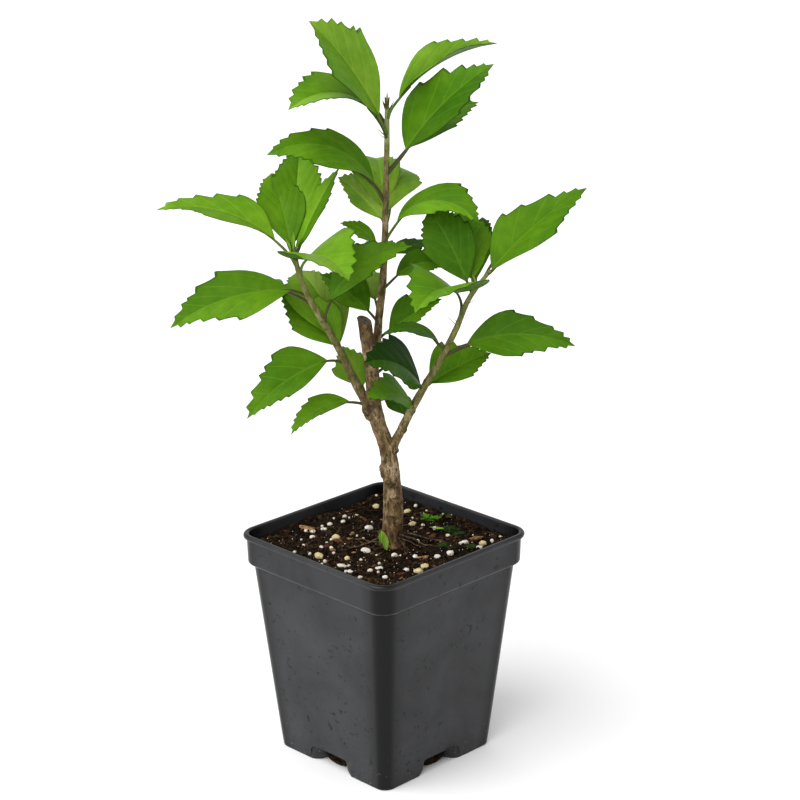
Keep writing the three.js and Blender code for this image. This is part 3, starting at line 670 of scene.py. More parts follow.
# What is strewn over the soil: material, whether it is faceted, and then, as the tree names them, its
# density, seed, smallest and largest size, shape, lumps, lift and tilt.
strewn = {
    "peatCrumbs": (peatCrumb, True, 225000.0, 3, 0.0004, 0.0014, (1.0, 0.8, 0.6), 1.1, 0.0001, 1.0),
    "peatFibres": (rootFibre, True, 20000.0, 8, 0.0004, 0.0013, (4.2, 0.13, 0.13), 0.9, 0.0006, 0.35),
    "paleSpecks": (paleGrain, True, 20000.0, 5, 0.0001, 0.0003, (1.0, 0.9, 0.8), 0.6, 0.0006, 1.0),
    "paleGrains": (paleGrain, False, 3800.0, 21, 0.0005, 0.0013, (1.0, 0.9, 0.8), 0.35, 0.0007, 0.8),
    "creamGrains": (creamGrain, False, 500.0, 12, 0.0007, 0.0012, (1.0, 0.95, 0.9), 0.25, 0.0007, 0.5),
    "redChips": (redChip, True, 3000.0, 30, 0.0005, 0.0013, (2.2, 1.0, 0.4), 0.8, 0.0006, 0.5),
    "tanChips": (tanChip, True, 1900.0, 31, 0.0004, 0.001, (2.0, 1.0, 0.5), 0.8, 0.0006, 0.5),
}
for name, look in strewn.items():
    strew(name, *look)

# Grains, chips and tufts of moss that lie at their own places: kind, u, v, half sizes along the
# longest, middle and upright way, and turn. How lumpy they are and how fine the lumps are is given for
# grains, then for the rest, and how high they sit for all but moss, then for moss.
grains = {
    "materials": [paleGrain, creamGrain, tanChip, redChip, mossGreen],
    "lumps": (0.2, 0.6),
    "fine": (1.4, 2.6),
    "sit": (0.55, 0.1),
    "laid": [
        (1, -4.5, 60, 2.0, 1.8, 1.5, 0), (1, 12.7, 50.5, 2.2, 1.8, 1.5, 40),
        (1, 15.1, 32.2, 2.1, 1.5, 1.3, 30), (0, -8.3, 28.8, 2.2, 1.9, 1.5, 20),
        (0, -22.3, 37.9, 1.4, 1.2, 1.0, 70), (1, -15, 47.3, 1.2, 1.0, 0.9, 0),
        (1, -25.6, 12.5, 2.3, 2.0, 1.7, 30), (0, -9.5, -4, 2.7, 1.9, 1.6, 155),
        (0, 5.4, -9, 1.7, 1.4, 1.2, 15), (0, 16.2, -10.4, 1.6, 1.3, 1.1, 100),
        (2, 21.9, -10.5, 1.6, 1.2, 0.8, 10), (0, 27.7, -12.2, 1.7, 1.4, 1.1, 0),
        (0, 34.5, -6.8, 2.4, 1.9, 1.5, 60), (1, 21.1, -23.9, 2.2, 1.9, 1.5, 0),
        (0, 41.9, 7.1, 2.8, 1.2, 1.1, 20), (0, -1.9, -26.1, 1.6, 1.3, 1.0, 0),
        (0, -7, -29.2, 1.5, 1.3, 1.1, 50), (0, -17.5, -29, 1.7, 1.4, 1.1, 0),
        (1, -19.1, -12.5, 1.8, 1.4, 1.2, 80), (0, -21.9, -20.8, 3.0, 1.3, 1.2, 165),
        (2, -27.2, -4, 1.6, 1.2, 0.8, 0), (1, 17.8, -31.3, 2.4, 2.0, 1.5, 0),
        (0, 11.7, -27.6, 1.4, 1.2, 1.0, 0), (1, 52, 6, 2.2, 1.8, 1.6, 30), (0, 50, 0, 1.6, 1.3, 1.1, 0),
        (0, -21.4, 44.9, 1.3, 1.1, 0.9, 0), (0, -29.3, 34.8, 1.5, 1.2, 1.0, 0),
        (1, -33.8, -12.4, 2.9, 2.1, 1.7, 120), (0, 0.7, -38, 1.5, 1.3, 1.0, 0),
        (0, -12, -38, 1.3, 1.1, 0.9, 20), (0, -38, 16, 1.6, 1.3, 1.1, 0), (0, -33, 28, 1.3, 1.1, 0.9, 60),
        (0, 34, 20, 1.3, 1.1, 0.9, 0), (2, -41.5, 28, 5.0, 2.0, 1.4, 148), (0, -38.2, 25, 1.5, 1.2, 1.1, 0),
        (2, 48.8, 14, 3.6, 1.6, 0.6, 25), (2, -17.6, 16.2, 3.4, 0.9, 0.5, 165),
        (3, 8, -34, 3.2, 1.4, 0.6, 30), (3, -30, 2, 3.0, 1.2, 0.5, 60), (3, 30, 12, 3.2, 1.4, 0.5, 140),
        (4, 35.7, 28.2, 4.2, 3.4, 1.5, 0), (4, 45.7, 1.5, 3.6, 3.0, 1.4, 40), (4, 31, 4, 3.6, 2.6, 1.2, 0),
        (4, 40, 22, 3.4, 2.8, 1.2, 20), (4, 24, 42, 4.4, 3.6, 1.5, 0),
    ],
}


def layGrains():
    unit, faces = unitBall(3)
    laid = Gather()
    for number, (kind, u, v, long, wide, high, turn) in enumerate(grains["laid"]):
        lumps, fine, shift = grains["lumps"][kind > 1], grains["fine"][kind > 1], Vector((number * 7, 0, 0))
        swell = np.array([noise.fractal(Vector(p) * fine + shift, 0.8, 2.0, 3) for p in unit])
        shape = unit * (1 + lumps * swell)[:, None] * (long, wide, high)
        spot = onSoil(u, v, high * grains["sit"][kind == 4])
        laid.addPlant(turned(shape, math.radians(turn)) + spot, faces, kind)
    return laid.build("laidGrains", grains["materials"])


# Peat that shows in the drain notches, in a darker earth that stands for the shade in the recess (painted
# shade).
notchPeat = {"half": (9.5, 3.2, 4.4), "depth": 6.0, "height": 4.5, "lumps": 0.5, "fine": 3.2}


def fillNotches():
    unit, faces = unitBall(4)
    clods = Gather()
    for side in range(4):
        shift = Vector((side * 5, 3, 0))
        swell = np.array([noise.fractal(Vector(p) * notchPeat["fine"] + shift, 0.7, 2.0, 4) for p in unit])
        shape = unit * (1 + notchPeat["lumps"] * np.clip(swell, -1, 0.05))[:, None] * notchPeat["half"]
        shape += (0, notchPeat["depth"] - pot["footHalf"], notchPeat["height"])
        clods.add(turned(shape * mm, math.radians(90 * side)), faces)
    # Painted shade: the notch peat takes a darker earth.
    return clods.build("notchPeat", [earth("peatInPaintedShade", (0.001, 0.0008, 0.0006), (0.026, 0.015, 0.008), 420)])


notchClods = fillNotches()
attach(notchClods, body)
laidGrains = layGrains()
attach(laidGrains, body)
print("soil laid")


# Limbs: the line each one follows, and by height its radius and how young its bark is. Lines and radii
# are those of the solids.
limbs = {
    "trunk": {
        "line": [(4.2, 8, 112), (4.8, 8, 129), (4.6, 8, 143), (3.4, 8, 157), (1.4, 8, 168), (-2.2, 8, 179),
                 (-4.6, 7.5, 190), (-5.2, 7, 204), (-7, 6, 220), (-9.6, 5, 239)],
        "radii": [(112, 5.2), (150, 4.8), (158, 4.6), (168, 3.9), (190, 3.9), (204, 3.7), (239, 3.5)],
        "youth": [(0, 0)],
    },
    "left": {
        "line": [(-3.4, 7.8, 180), (-7.5, 6.6, 189), (-15.3, 4, 206), (-23.2, 0, 225), (-33.4, -4, 245),
                 (-39.6, -7, 259), (-42.8, -9, 271.6), (-43.7, -10, 280)],
        "radii": [(180, 3), (192, 2.4), (225, 1.9), (250, 1.6), (271, 1.3), (280, 0.9)],
        "youth": [(190, 0.05), (210, 0.35), (240, 0.6), (275, 0.86)],
    },
    "centre": {
        "line": [(-5, 7.5, 194), (-4.6, 9.6, 202), (-3.9, 11, 212), (-3, 11.2, 222), (-1.8, 11, 236),
                 (0.4, 10.6, 257), (1.6, 11, 280), (2.2, 12, 300), (2.9, 13.4, 330), (3.1, 14, 353)],
        "radii": [(194, 2.9), (204, 2.2), (257, 1.9), (300, 1.6), (330, 1.4), (342, 1.3), (346, 1.15),
                  (350, 0.6), (353, 0.2)],
        "youth": [(230, 0.05), (280, 0.2), (318, 0.35), (328, 1), (345, 1)],
    },
    "right": {
        "line": [(3, 7.6, 160), (5.2, 6.8, 168), (9.2, 5.2, 177), (14.6, 3.4, 189), (23.8, 0, 207),
                 (30.5, -1.5, 219.5), (37.6, -3, 235), (42.6, -5, 248.6), (47, -6, 256.4), (54.5, -8, 266.6)],
        "radii": [(160, 3.2), (170, 2.5), (190, 2.1), (235, 1.6), (256, 1.3), (266.6, 1)],
        "youth": [(168, 0.05), (192, 0.4), (225, 0.6), (256, 0.86)],
    },
}
pathSteps = 240
for limb in limbs.values():
    limb["path"] = smoothLine(limb["line"], pathSteps)


def limbPoint(name, height):
    path = limbs[name]["path"]
    return np.array([np.interp(height, path[:, 2], path[:, k]) for k in range(3)])


# Place on a limb's skin, or a lift above it, at a height and a heading.
def barkSpot(name, height, heading, lift=0):
    way = math.radians(heading)
    reach = between(limbs[name]["radii"], height) + lift
    return limbPoint(name, height) + reach * np.array([math.cos(way), math.sin(way), 0])


bark = {
    "voxel": 0.4, "sides": 28, "sunk": 3.5, "ridge": 0.34, "stubTop": 237, "stubSlant": 0.3, "stubReach": 5.5,
    "flareFoot": 112.8, "flareHeight": 4.5, "flareWidth": 2.6, "rootHeadings": (-150, -60, -15, 75, 165),
    "crackSize": (1.5, 1.5, 6.5), "grainShape": (1, 1, 3), "grainSize": 0.9, "lumpSize": (5, 5, 9),
    "lumps": 0.35,
    # scars and knots: limb, height, heading round it, reach, swelling
    "knots": [
        ("trunk", 148, -112, 1.9, 1.1), ("trunk", 148, -76, 1.9, 1.1), ("trunk", 155, -176, 2.0, 2.3),
        ("trunk", 151.5, -170, 1.7, 1.6), ("trunk", 165.5, -12, 1.5, 2.0), ("trunk", 188, -172, 2.5, 2.6),
        ("trunk", 184.5, -160, 2.1, 2.1), ("trunk", 191, -118, 2.2, 0.9), ("right", 177, 0, 1.3, 1.1),
        ("trunk", 208, -60, 1.5, 0.5), ("trunk", 137, 20, 2.2, 0.6), ("trunk", 158, 100, 2.2, 0.8),
        ("left", 206, 200, 1.3, 0.6), ("right", 188, -30, 1.2, 0.8), ("trunk", 125, 150, 2.4, 0.7),
        ("left", 222, 20, 1.2, 0.5), ("right", 206, 190, 1.1, 0.5), ("centre", 250, -100, 1.1, 0.5),
    ],
    # ridges left by old leaves: limb, height, heading of their middle, half width, swelling
    "ridges": [
        ("trunk", 141, -74, 2.6, 0.9), ("trunk", 130.8, -100, 2.4, 0.9), ("trunk", 161, -130, 2.4, 0.4),
        ("centre", 268, -90, 1.8, 0.3), ("left", 236, -90, 1.8, 0.3), ("right", 228, -90, 1.8, 0.3),
    ],
    "hollow": ("trunk", 118, -38, 3.0, 2.2),
}


def rootSwell(angle):
    nearest = max(math.cos(angle - math.radians(h)) for h in bark["rootHeadings"])
    return 0.3 + 0.7 * max(0, nearest) ** 6


def buildLimbs():
    shapes = Gather()
    for name, limb in limbs.items():
        path, flare = limb["path"], 0
        if name == "trunk":
            path, flare = np.vstack([path[0] - (0, 0, bark["sunk"]), path]), bark["flareWidth"]

        def radiusAt(share, angle):
            height = path[int(round(share * (len(path) - 1)))][2]
            swell = flare * math.exp(-max(0, height - bark["flareFoot"]) / bark["flareHeight"])
            return between(limb["radii"], height) + swell * rootSwell(angle - math.pi / 2)

        shapes.addPlant(*tube(path, radiusAt, bark["sides"]))
    skin = shapes.build("limbs", [barkMaterial, cutWood()])
    remesh = skin.modifiers.new("skin", "REMESH")
    remesh.mode, remesh.voxel_size = "VOXEL", bark["voxel"] * mm
    soften = skin.modifiers.new("soften", "SMOOTH")
    soften.factor, soften.iterations = 0.5, 4
    return applyModifiers(skin)


def readVertices(mesh, key):
    values = np.zeros(len(mesh.vertices) * 3)
    mesh.vertices.foreach_get(key, values)
    return values.reshape(-1, 3)


# Pushes the skin in and out: cracks along the limbs, leaf scars, knots, and the old slanting cut.
def carveBark(skin):
    mesh = skin.data
    count = len(mesh.vertices)
    place = toPlant(readVertices(mesh, "co"))
    normals = turned(readVertices(mesh, "normal"), -layout["turn"])
    samples = np.vstack([limb["path"][::2] for limb in limbs.values()])
    owner = [limb for limb in limbs.values() for _ in limb["path"][::2]]
    push, youth, scarAndShade = np.zeros(count), np.zeros(count), np.zeros(count)
    crackAt, grainAt, lumpAt = (place / bark[key] for key in ("crackSize", "grainShape", "lumpSize"))
    for i in range(count):
        limb = owner[np.linalg.norm(place[i] - samples, axis=1).argmin()]
        radius = between(limb["radii"], place[i, 2])
        youth[i] = between(limb["youth"], place[i, 2])
        cracks = 0.5 - abs(noise.noise(Vector(crackAt[i]))) * 1.8
        grain = noise.fractal(Vector(grainAt[i]) / bark["grainSize"], 0.7, 2.0, 3)
        amount = bark["ridge"] * (0.3 + 0.7 * min(1, radius / 5)) * (1 - 0.75 * youth[i])
        push[i] = amount * (0.55 * cracks + 0.5 * grain)
        push[i] += bark["lumps"] * noise.noise(Vector(lumpAt[i])) * min(1, radius / 4)
    for name, height, heading, reach, size in bark["knots"]:
        gap = np.linalg.norm((place - barkSpot(name, height, heading)) * (1, 1, 1.25), axis=1) / reach
        push += size * (np.exp(-gap**2) - 0.75 * np.exp(-(gap / 0.45) ** 2))
        # Knots: a dark scar in the pit, and painted shade in the pit and in a ring round the knot's foot.
        scarAndShade += 1.1 * np.exp(-(gap / 0.5) ** 2) + 0.4 * np.exp(-((gap - 1.25) / 0.3) ** 2)
    for name, height, heading, half, size in bark["ridges"]:
        aside = np.linalg.norm((place - barkSpot(name, height, heading)) * (1, 1, 0), axis=1) / half
        level = place[:, 2] - height + 0.5 * aside
        push += size * np.exp(-aside**2 - (level / 0.7) ** 2)
        # Painted shade: a dark band just under each ridge.
        scarAndShade += 0.55 * np.exp(-aside**2 - ((level + 1.1) / 0.5) ** 2)
    *where, reach, depth = bark["hollow"]
    gap = np.linalg.norm((place - barkSpot(*where, 1)) * (1, 1, 0.6), axis=1) / reach
    push -= depth * np.exp(-gap**2)
    # Painted shade in the hollow.
    scarAndShade += 0.8 * np.exp(-(gap / 0.9) ** 2)
    place = place + normals * push[:, None]
    top = limbPoint("trunk", bark["stubTop"])
    away = place - top
    near = (np.hypot(away[:, 0], away[:, 1]) < bark["stubReach"]) & (place[:, 2] > bark["stubTop"] - 5)
    plane = bark["stubTop"] + bark["stubSlant"] * (away[:, 1] - away[:, 0])
    over = near & (place[:, 2] > plane)
    place[over, 2] = plane[over]
    mesh.vertices.foreach_set("co", toPart(place).ravel())
    cut = [int(all(over[i] for i in p.vertices)) for p in mesh.polygons]
    mesh.polygons.foreach_set("material_index", cut)
    mesh.polygons.foreach_set("use_smooth", np.full(len(mesh.polygons), True))
    # Writes youth, and the scars with their painted shade.
    for name, values in (("youth", youth), ("scarAndShade", np.clip(scarAndShade, 0, 0.9))):
        mesh.attributes.new(name, "FLOAT", "POINT").data.foreach_set("value", values)
    mesh.update()


limbSkin = buildLimbs()
carveBark(limbSkin)
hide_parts("trunk", "left_bough", "centre_bough", "right_bough")
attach(limbSkin, body)
print("limbs grown:", len(limbSkin.data.polygons), "faces")


# Thin roots that run out from the foot over the soil: heading, length, radius at the foot, bend and
# height over the soil at the foot.
surfaceRoots = {
    "runs": [(-160, 25, 0.6, 4, 5.5), (-16, 23, 0.65, -4, 6), (-46, 11, 0.42, 5, 5), (3, 28, 0.6, -6, 6),
             (-24, 20, 0.35, 6, 4), (176, 24, 0.5, -10, 1.5), (70, 28, 0.6, 12, 2), (110, 22, 0.5, -8, 1.5),
             (-120, 14, 0.4, 12, 1.5)],
    "start": 3.5, "steps": 8, "rings": 40, "sides": 8,
}


def buildRoots():
    shapes = Gather()
    for number, (heading, length, radius, bend, rise) in enumerate(surfaceRoots["runs"]):
        path = []
        for share in np.arange(surfaceRoots["steps"] + 1) / surfaceRoots["steps"]:
            angle = math.radians(heading + bend * math.sin(share * 4 + number))
            reach = surfaceRoots["start"] + share * length
            u = soil["foot"][0] + reach * math.cos(angle)
            v = soil["foot"][1] + reach * math.sin(angle)
            path.append(onSoil(u, v, 0.4 + rise * (1 - share) ** 1.3 - 0.3 * share))
        line = smoothLine(path, surfaceRoots["rings"])
        shapes.addPlant(*tube(line, lambda share, a: radius * (1 - 0.7 * share), surfaceRoots["sides"]))
    rootBark = earth("rootBark", (0.03, 0.018, 0.01), (0.16, 0.11, 0.065), 500, 0.85)
    return shapes.build("surfaceRoots", [rootBark])


roots = buildRoots()
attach(roots, body)


# Leaves: the same table as the solids, with a shade for each: the base colour of the right half, and left
# names that of the left half. The shades are painted light and shade: darker for leaves and halves that lie
# in shadow, paler for those that are lit or catch a sheen, over the leaves' own differences in tone. A leaf
# has the height of its foot on the limb, where its blade starts, heading and rise there, length and width.
# Droop bends it along its length, roll leans it about its rib, fold lifts both halves, wide is where it is
# widest. On the right half, shift moves that place to the tip and uneven widens the half, and on the left the
# opposite. A low taper gives a round tip, and a low blunt a round foot.
def leaf(shade, foot, start, heading, rise, length, width, **shape):
    plain = {"left": shade, "droop": 20, "roll": 0, "fold": 10, "wide": 0.48, "shift": 0, "uneven": 0,
             "taper": 0.9, "blunt": 0.95}
    return {"shade": shade, "foot": foot, "start": np.array(start, float), "heading": heading, "rise": rise,
            "length": length, "width": width, **plain, **shape}


foliage = {
    "centre_crown": [
        leaf("fresh", 331, (-1, 8, 342), 203, 64, 62, 41,
             roll=50, fold=20, wide=0.63, shift=-0.02, uneven=-0.1, left="bright"),
        leaf("warm", 329, (-2, 9, 341), 202, 57, 53, 32,
             droop=95, roll=15, fold=15, wide=0.6, uneven=0.08, left="fresh"),
        leaf("fresh", 339, (9, 12, 350), 20, 47, 59, 23, droop=45, roll=-20, fold=50, wide=0.46),
        leaf("cool", 311, (12.4, 10, 324), 342, 58, 65, 35,
             droop=25, roll=-52, fold=12, shift=0.13, uneven=-0.15, left="mid"),
        leaf("mid", 334, (-2.5, 20, 343), 128, 30, 40, 22, droop=30, fold=12),
        leaf("mid", 311.5, (12.8, 19, 323), 36, 41, 50, 26, droop=40, roll=-20, fold=12),
    ],
    "centre_spray_upper_left": [
        leaf("mid", 296, (-3.7, 10, 307), 199, 63, 65, 27,
             droop=88, roll=38, fold=5, wide=0.55, shift=-0.07, uneven=-0.1, left="warm"),
        leaf("mid", 297, (-12, 26, 310), 163, 33, 34, 18, droop=60, roll=10, fold=12),
    ],
    "centre_spray_upper_back": [
        leaf("pale", 284, (0.1, 15.5, 287), 136, 38, 36, 19,
             roll=60, fold=0, wide=0.55, uneven=0.35, left="fresh"),
        leaf("fresh", 285, (0.6, 18, 292.5), 96, 72, 43, 27, droop=90, wide=0.6, taper=0.5, uneven=-0.2),
        leaf("fresh", 284, (4.2, 16, 292), 72, 62, 37, 22,
             droop=80, roll=-20, fold=0, wide=0.6, shift=0.05, taper=0.6, left="pale"),
    ],
    "centre_spray_upper_right": [
        leaf("bright", 277, (7.7, 9, 287.3), 340, 59, 51, 20,
             droop=110, roll=-38, fold=8, wide=0.59, shift=-0.09, uneven=-0.1, left="mid"),
    ],
    "centre_spray_middle_left": [
        leaf("warm", 271, (-3, 8.5, 276), 176, 58, 22, 14, droop=55, roll=20, uneven=-0.2),
    ],
    "centre_spray_middle_right": [leaf("deep", 263, (4.5, 12.5, 270), 38, 14, 26, 13, roll=-20, fold=0)],
    "centre_spray_middle_back": [leaf("mid", 258, (0.4, 18, 262.5), 95, 31, 42, 16, droop=70, fold=12)],
    "centre_spray_lower_right": [
        leaf("warm", 251, (7.1, 5, 260), 20, 42, 30, 15, droop=75, roll=-50, fold=15, left="cool"),
    ],
    "centre_spray_lower_left": [
        leaf("cool", 232, (-6.8, 7, 241), 158, 42, 32, 21, roll=35, uneven=0.15, left="warm"),
        leaf("pale", 237, (-3.6, 14, 245), 105, 33, 31, 18, droop=30, roll=10, fold=0),
    ],
    "centre_spray_low_right": [
        leaf("warm", 224, (3.3, 12, 229.3), 16, 34, 32, 17,
             droop=15, roll=-45, fold=20, uneven=-0.3, left="cool"),
    ],
    "centre_spray_low_back": [leaf("mid", 206, (1.6, 18, 211), 95, 25, 40, 16, droop=60, fold=12)],
    "left_crown": [
        leaf("bright", 269, (-53, -12, 284), 174, 41, 63, 24,
             droop=55, roll=20, fold=18, wide=0.46, shift=-0.1, uneven=0.12),
        leaf("mid", 274, (-45, -8, 279), 113, 60, 42, 25,
             roll=10, fold=12, wide=0.62, taper=0.55, left="warm"),
        leaf("bright", 276, (-44, -5, 280), 85, 62, 50, 25, droop=15, wide=0.68, taper=0.5, left="mid"),
        leaf("mid", 272, (-41.5, -10, 279), 41, 61, 46, 22,
             droop=15, roll=12, fold=5, uneven=-0.15, left="bright"),
        leaf("fresh", 263, (-37.7, -13, 274), 304, 32, 42, 46,
             droop=70, roll=-8, fold=24, wide=0.32, blunt=0.5, left="bright"),
        leaf("mid", 274, (-46, 4, 277), 95, 41, 46, 24, droop=40, fold=12),
    ],
    "left_spray_upper": [
        leaf("mid", 247, (-45.8, -5, 255.9), 190, 6, 65, 29,
             droop=42, roll=47, fold=13, wide=0.47, shift=0.05, left="warm"),
        leaf("mid", 247, (-49, 6, 252), 130, -5, 48, 22, droop=40, roll=20, fold=12),
    ],
    "left_spray_upper_right": [
        leaf("warm", 237, (-25.8, -5, 250.6), 8, 63, 52, 24,
             droop=62, roll=-35, fold=15, wide=0.45, left="mid"),
    ],
    "left_spray_middle": [
        leaf("bright", 219, (-22.5, 4.5, 223), 149, 43, 42, 26,
             roll=45, fold=15, shift=-0.08, uneven=0.08, left="warm"),
        leaf("pale", 219, (-22, 5.5, 224), 125, 64, 50, 35,
             droop=50, roll=5, fold=0, wide=0.66, taper=0.55, uneven=-0.06, left="bright"),
    ],
    "left_spray_lower": [
        leaf("mid", 209, (-27.9, -1.5, 217.4), 202, -10, 52, 25,
             droop=40, roll=47, fold=15, wide=0.42, shift=-0.05, uneven=0.24),
    ],
    "left_spray_foot_back": [
        leaf("fresh", 194, (-10.4, 12, 199), 116, 41, 29, 21, roll=15, fold=0, uneven=-0.15),
    ],
    "left_spray_foot": [
        leaf("warm", 190, (-17, 3, 193.6), 202, 10, 37, 14, droop=65, roll=25, fold=13, uneven=0.2),
    ],
    "right_crown": [
        leaf("mid", 265, (55.2, -8, 266.7), 353, 53, 64, 31, roll=-50, fold=25, shift=0.15),
        leaf("cool", 254, (42.9, -4, 259.4), 140, 63, 42, 27, roll=45, fold=0, wide=0.6, taper=0.55),
        leaf("warm", 255, (45.6, -2, 260), 103, 49, 42, 28, droop=15, roll=10, fold=0, wide=0.62, taper=0.5),
        leaf("deep", 256, (47.2, -2, 260), 82, 45, 40, 15, droop=15, roll=5, fold=5, wide=0.6, taper=0.5),
        leaf("warm", 236, (37.8, -8, 255), 237, 34, 42, 48,
             droop=70, roll=4, fold=24, wide=0.32, uneven=-0.06, blunt=0.5, left="bright"),
        leaf("mid", 263, (56.5, 2, 269), 50, 36, 50, 18, droop=40, roll=-20, fold=12),
    ],
    "right_spray_upper": [
        leaf("mid", 219, (42.9, -2, 226), 352, 25, 57, 26,
             droop=48, roll=-52, wide=0.43, shift=0.02, uneven=0.04, left="cool"),
        leaf("mid", 219, (46, 5, 224), 40, 5, 50, 20, droop=35, roll=-20, fold=12),
    ],
    "right_spray_upper_left": [
        leaf("cool", 224, (28.8, -3.4, 226.5), 194, 56, 33, 13, droop=85, roll=15, fold=8),
    ],
    "right_spray_middle": [
        leaf("warm", 196, (24.2, 5, 202.6), 18, 31, 36, 27, roll=-45, fold=28, shift=0.08, uneven=-0.15),
    ],
    "right_spray_lower_left": [
        leaf("black", 197, (19.2, -1, 204), 227, 55, 49, 33, droop=55, roll=45, wide=0.45, left="deep"),
    ],
    "right_spray_foot_left": [
        leaf("warm", 187, (15, 0.5, 192.5), 227, 45, 37, 24, droop=50, roll=35, wide=0.4, uneven=0.12),
    ],
    "right_spray_foot_back": [leaf("deep", 178, (11.3, 7, 185), 109, 25, 24, 14, roll=10, fold=0)],
}

# Teeth: their lengths from the foot to the tip, where each has its tip, and how far the tip stands out.
# Columns: places between the rib and the edge.
bladeLook = {
    "thickness": 0.34, "teeth": (1.2, 1.15, 1.05, 0.9, 0.7), "fewTeeth": 4, "smallLeaf": 30,
    "youngLeaf": 20, "youngScale": 0.4, "toothedFrom": 0.05, "toothedTo": 0.94, "jitter": 0.5,
    "toothOut": (0.02, 0.085), "toothTip": 0.82, "toothSteps": (0.2, 0.45, 0.65, 0.82, 0.88, 0.94),
    "plainRows": 9, "columns": (0.14, 0.31, 0.5, 0.68, 0.84, 0.965, 1.0), "quilt": 0.2, "wave": 0.013,
    "waves": 1.6, "ribHalf": 0.55, "groove": 0.12, "keel": 0.4, "palestRim": 8, "firstVein": 0.03,
    "tipWidthAt": 0.65, "notchKeep": 0.985, "notchDepth": 0.6, "tipRise": 0.6, "tipFall": 1.3,
    "veinSpread": 1.1, "veinBend": 1.15, "foldFoot": 1.12, "foldLoss": 0.24, "seed": 100, "smallSeed": 300,
}


def ribAt(blade, share):
    share = np.asarray(share, float)
    heading, bend, first = (math.radians(blade[k]) for k in ("heading", "droop", "rise"))
    rise = first - bend * share
    forward = blade["length"] * (math.sin(first) - np.sin(rise)) / bend
    up = blade["length"] * (np.cos(rise) - math.cos(first)) / bend
    point = blade["start"] + np.stack([forward * math.cos(heading), forward * math.sin(heading), up], -1)
    along = np.stack([np.cos(rise) * math.cos(heading), np.cos(rise) * math.sin(heading), np.sin(rise)], -1)
    side = np.broadcast_to([math.sin(heading), -math.cos(heading), 0.0], along.shape)
    normal = np.cross(side, along)
    c, s = math.cos(math.radians(blade["roll"])), math.sin(math.radians(blade["roll"]))
    return point, along, side * c + normal * s, normal * c - side * s


def plainHalf(blade, share, wide):
    if share < wide:
        return math.sin(math.pi / 2 * share / wide) ** blade["blunt"]
    return max(0, 1 - (share - wide) / (1 - wide)) ** blade["taper"]


# Rows of one half, each as its share at the edge, half width, share at the rib and whether it is a vein,
# which ends in the tip of a tooth. The shares at the rib are the same on both halves, which so meet
# point to point.
def bladeRows(blade, sign, chance):
    look = bladeLook
    wide = blade["wide"] + sign * blade["shift"]
    few = look["fewTeeth"] if blade["length"] < look["smallLeaf"] else None
    teeth = np.array(look["teeth"][:few])
    start, same = wide - look["toothedFrom"], blade["wide"] - look["toothedFrom"]
    rows = []
    for i in range(look["plainRows"]):
        part = i / look["plainRows"]
        rows.append((start * part, plainHalf(blade, start * part, wide), same * part, False))
    uneven = teeth * (1 + look["jitter"] * chance.uniform(-1, 1, len(teeth)))
    lengths = uneven * (look["toothedTo"] - start) / uneven.sum()
    nominal = teeth * (look["toothedTo"] - same) / teeth.sum()
    notch, tipStep = plainHalf(blade, start, wide), look["toothTip"]
    for length, even in zip(lengths, nominal):
        out = chance.uniform(*look["toothOut"])
        tip = plainHalf(blade, start + look["tipWidthAt"] * length, wide) + out
        nextNotch = plainHalf(blade, start + length, wide) * look["notchKeep"] - look["notchDepth"] * out
        for step in look["toothSteps"]:
            width = tip
            if step < tipStep:
                width = notch + (tip - notch) * math.sin(math.pi / 2 * step / tipStep) ** look["tipRise"]
            elif step > tipStep:
                fall = (step - tipStep) / (look["toothSteps"][-1] - tipStep)
                width = tip + (nextNotch - tip) * fall ** look["tipFall"]
            rows.append((start + step * length, width, same + step * even, step == tipStep))
        start, same, notch = start + length, same + even, nextNotch
    return rows + [(1.0, 0.0, 1.0, False)]


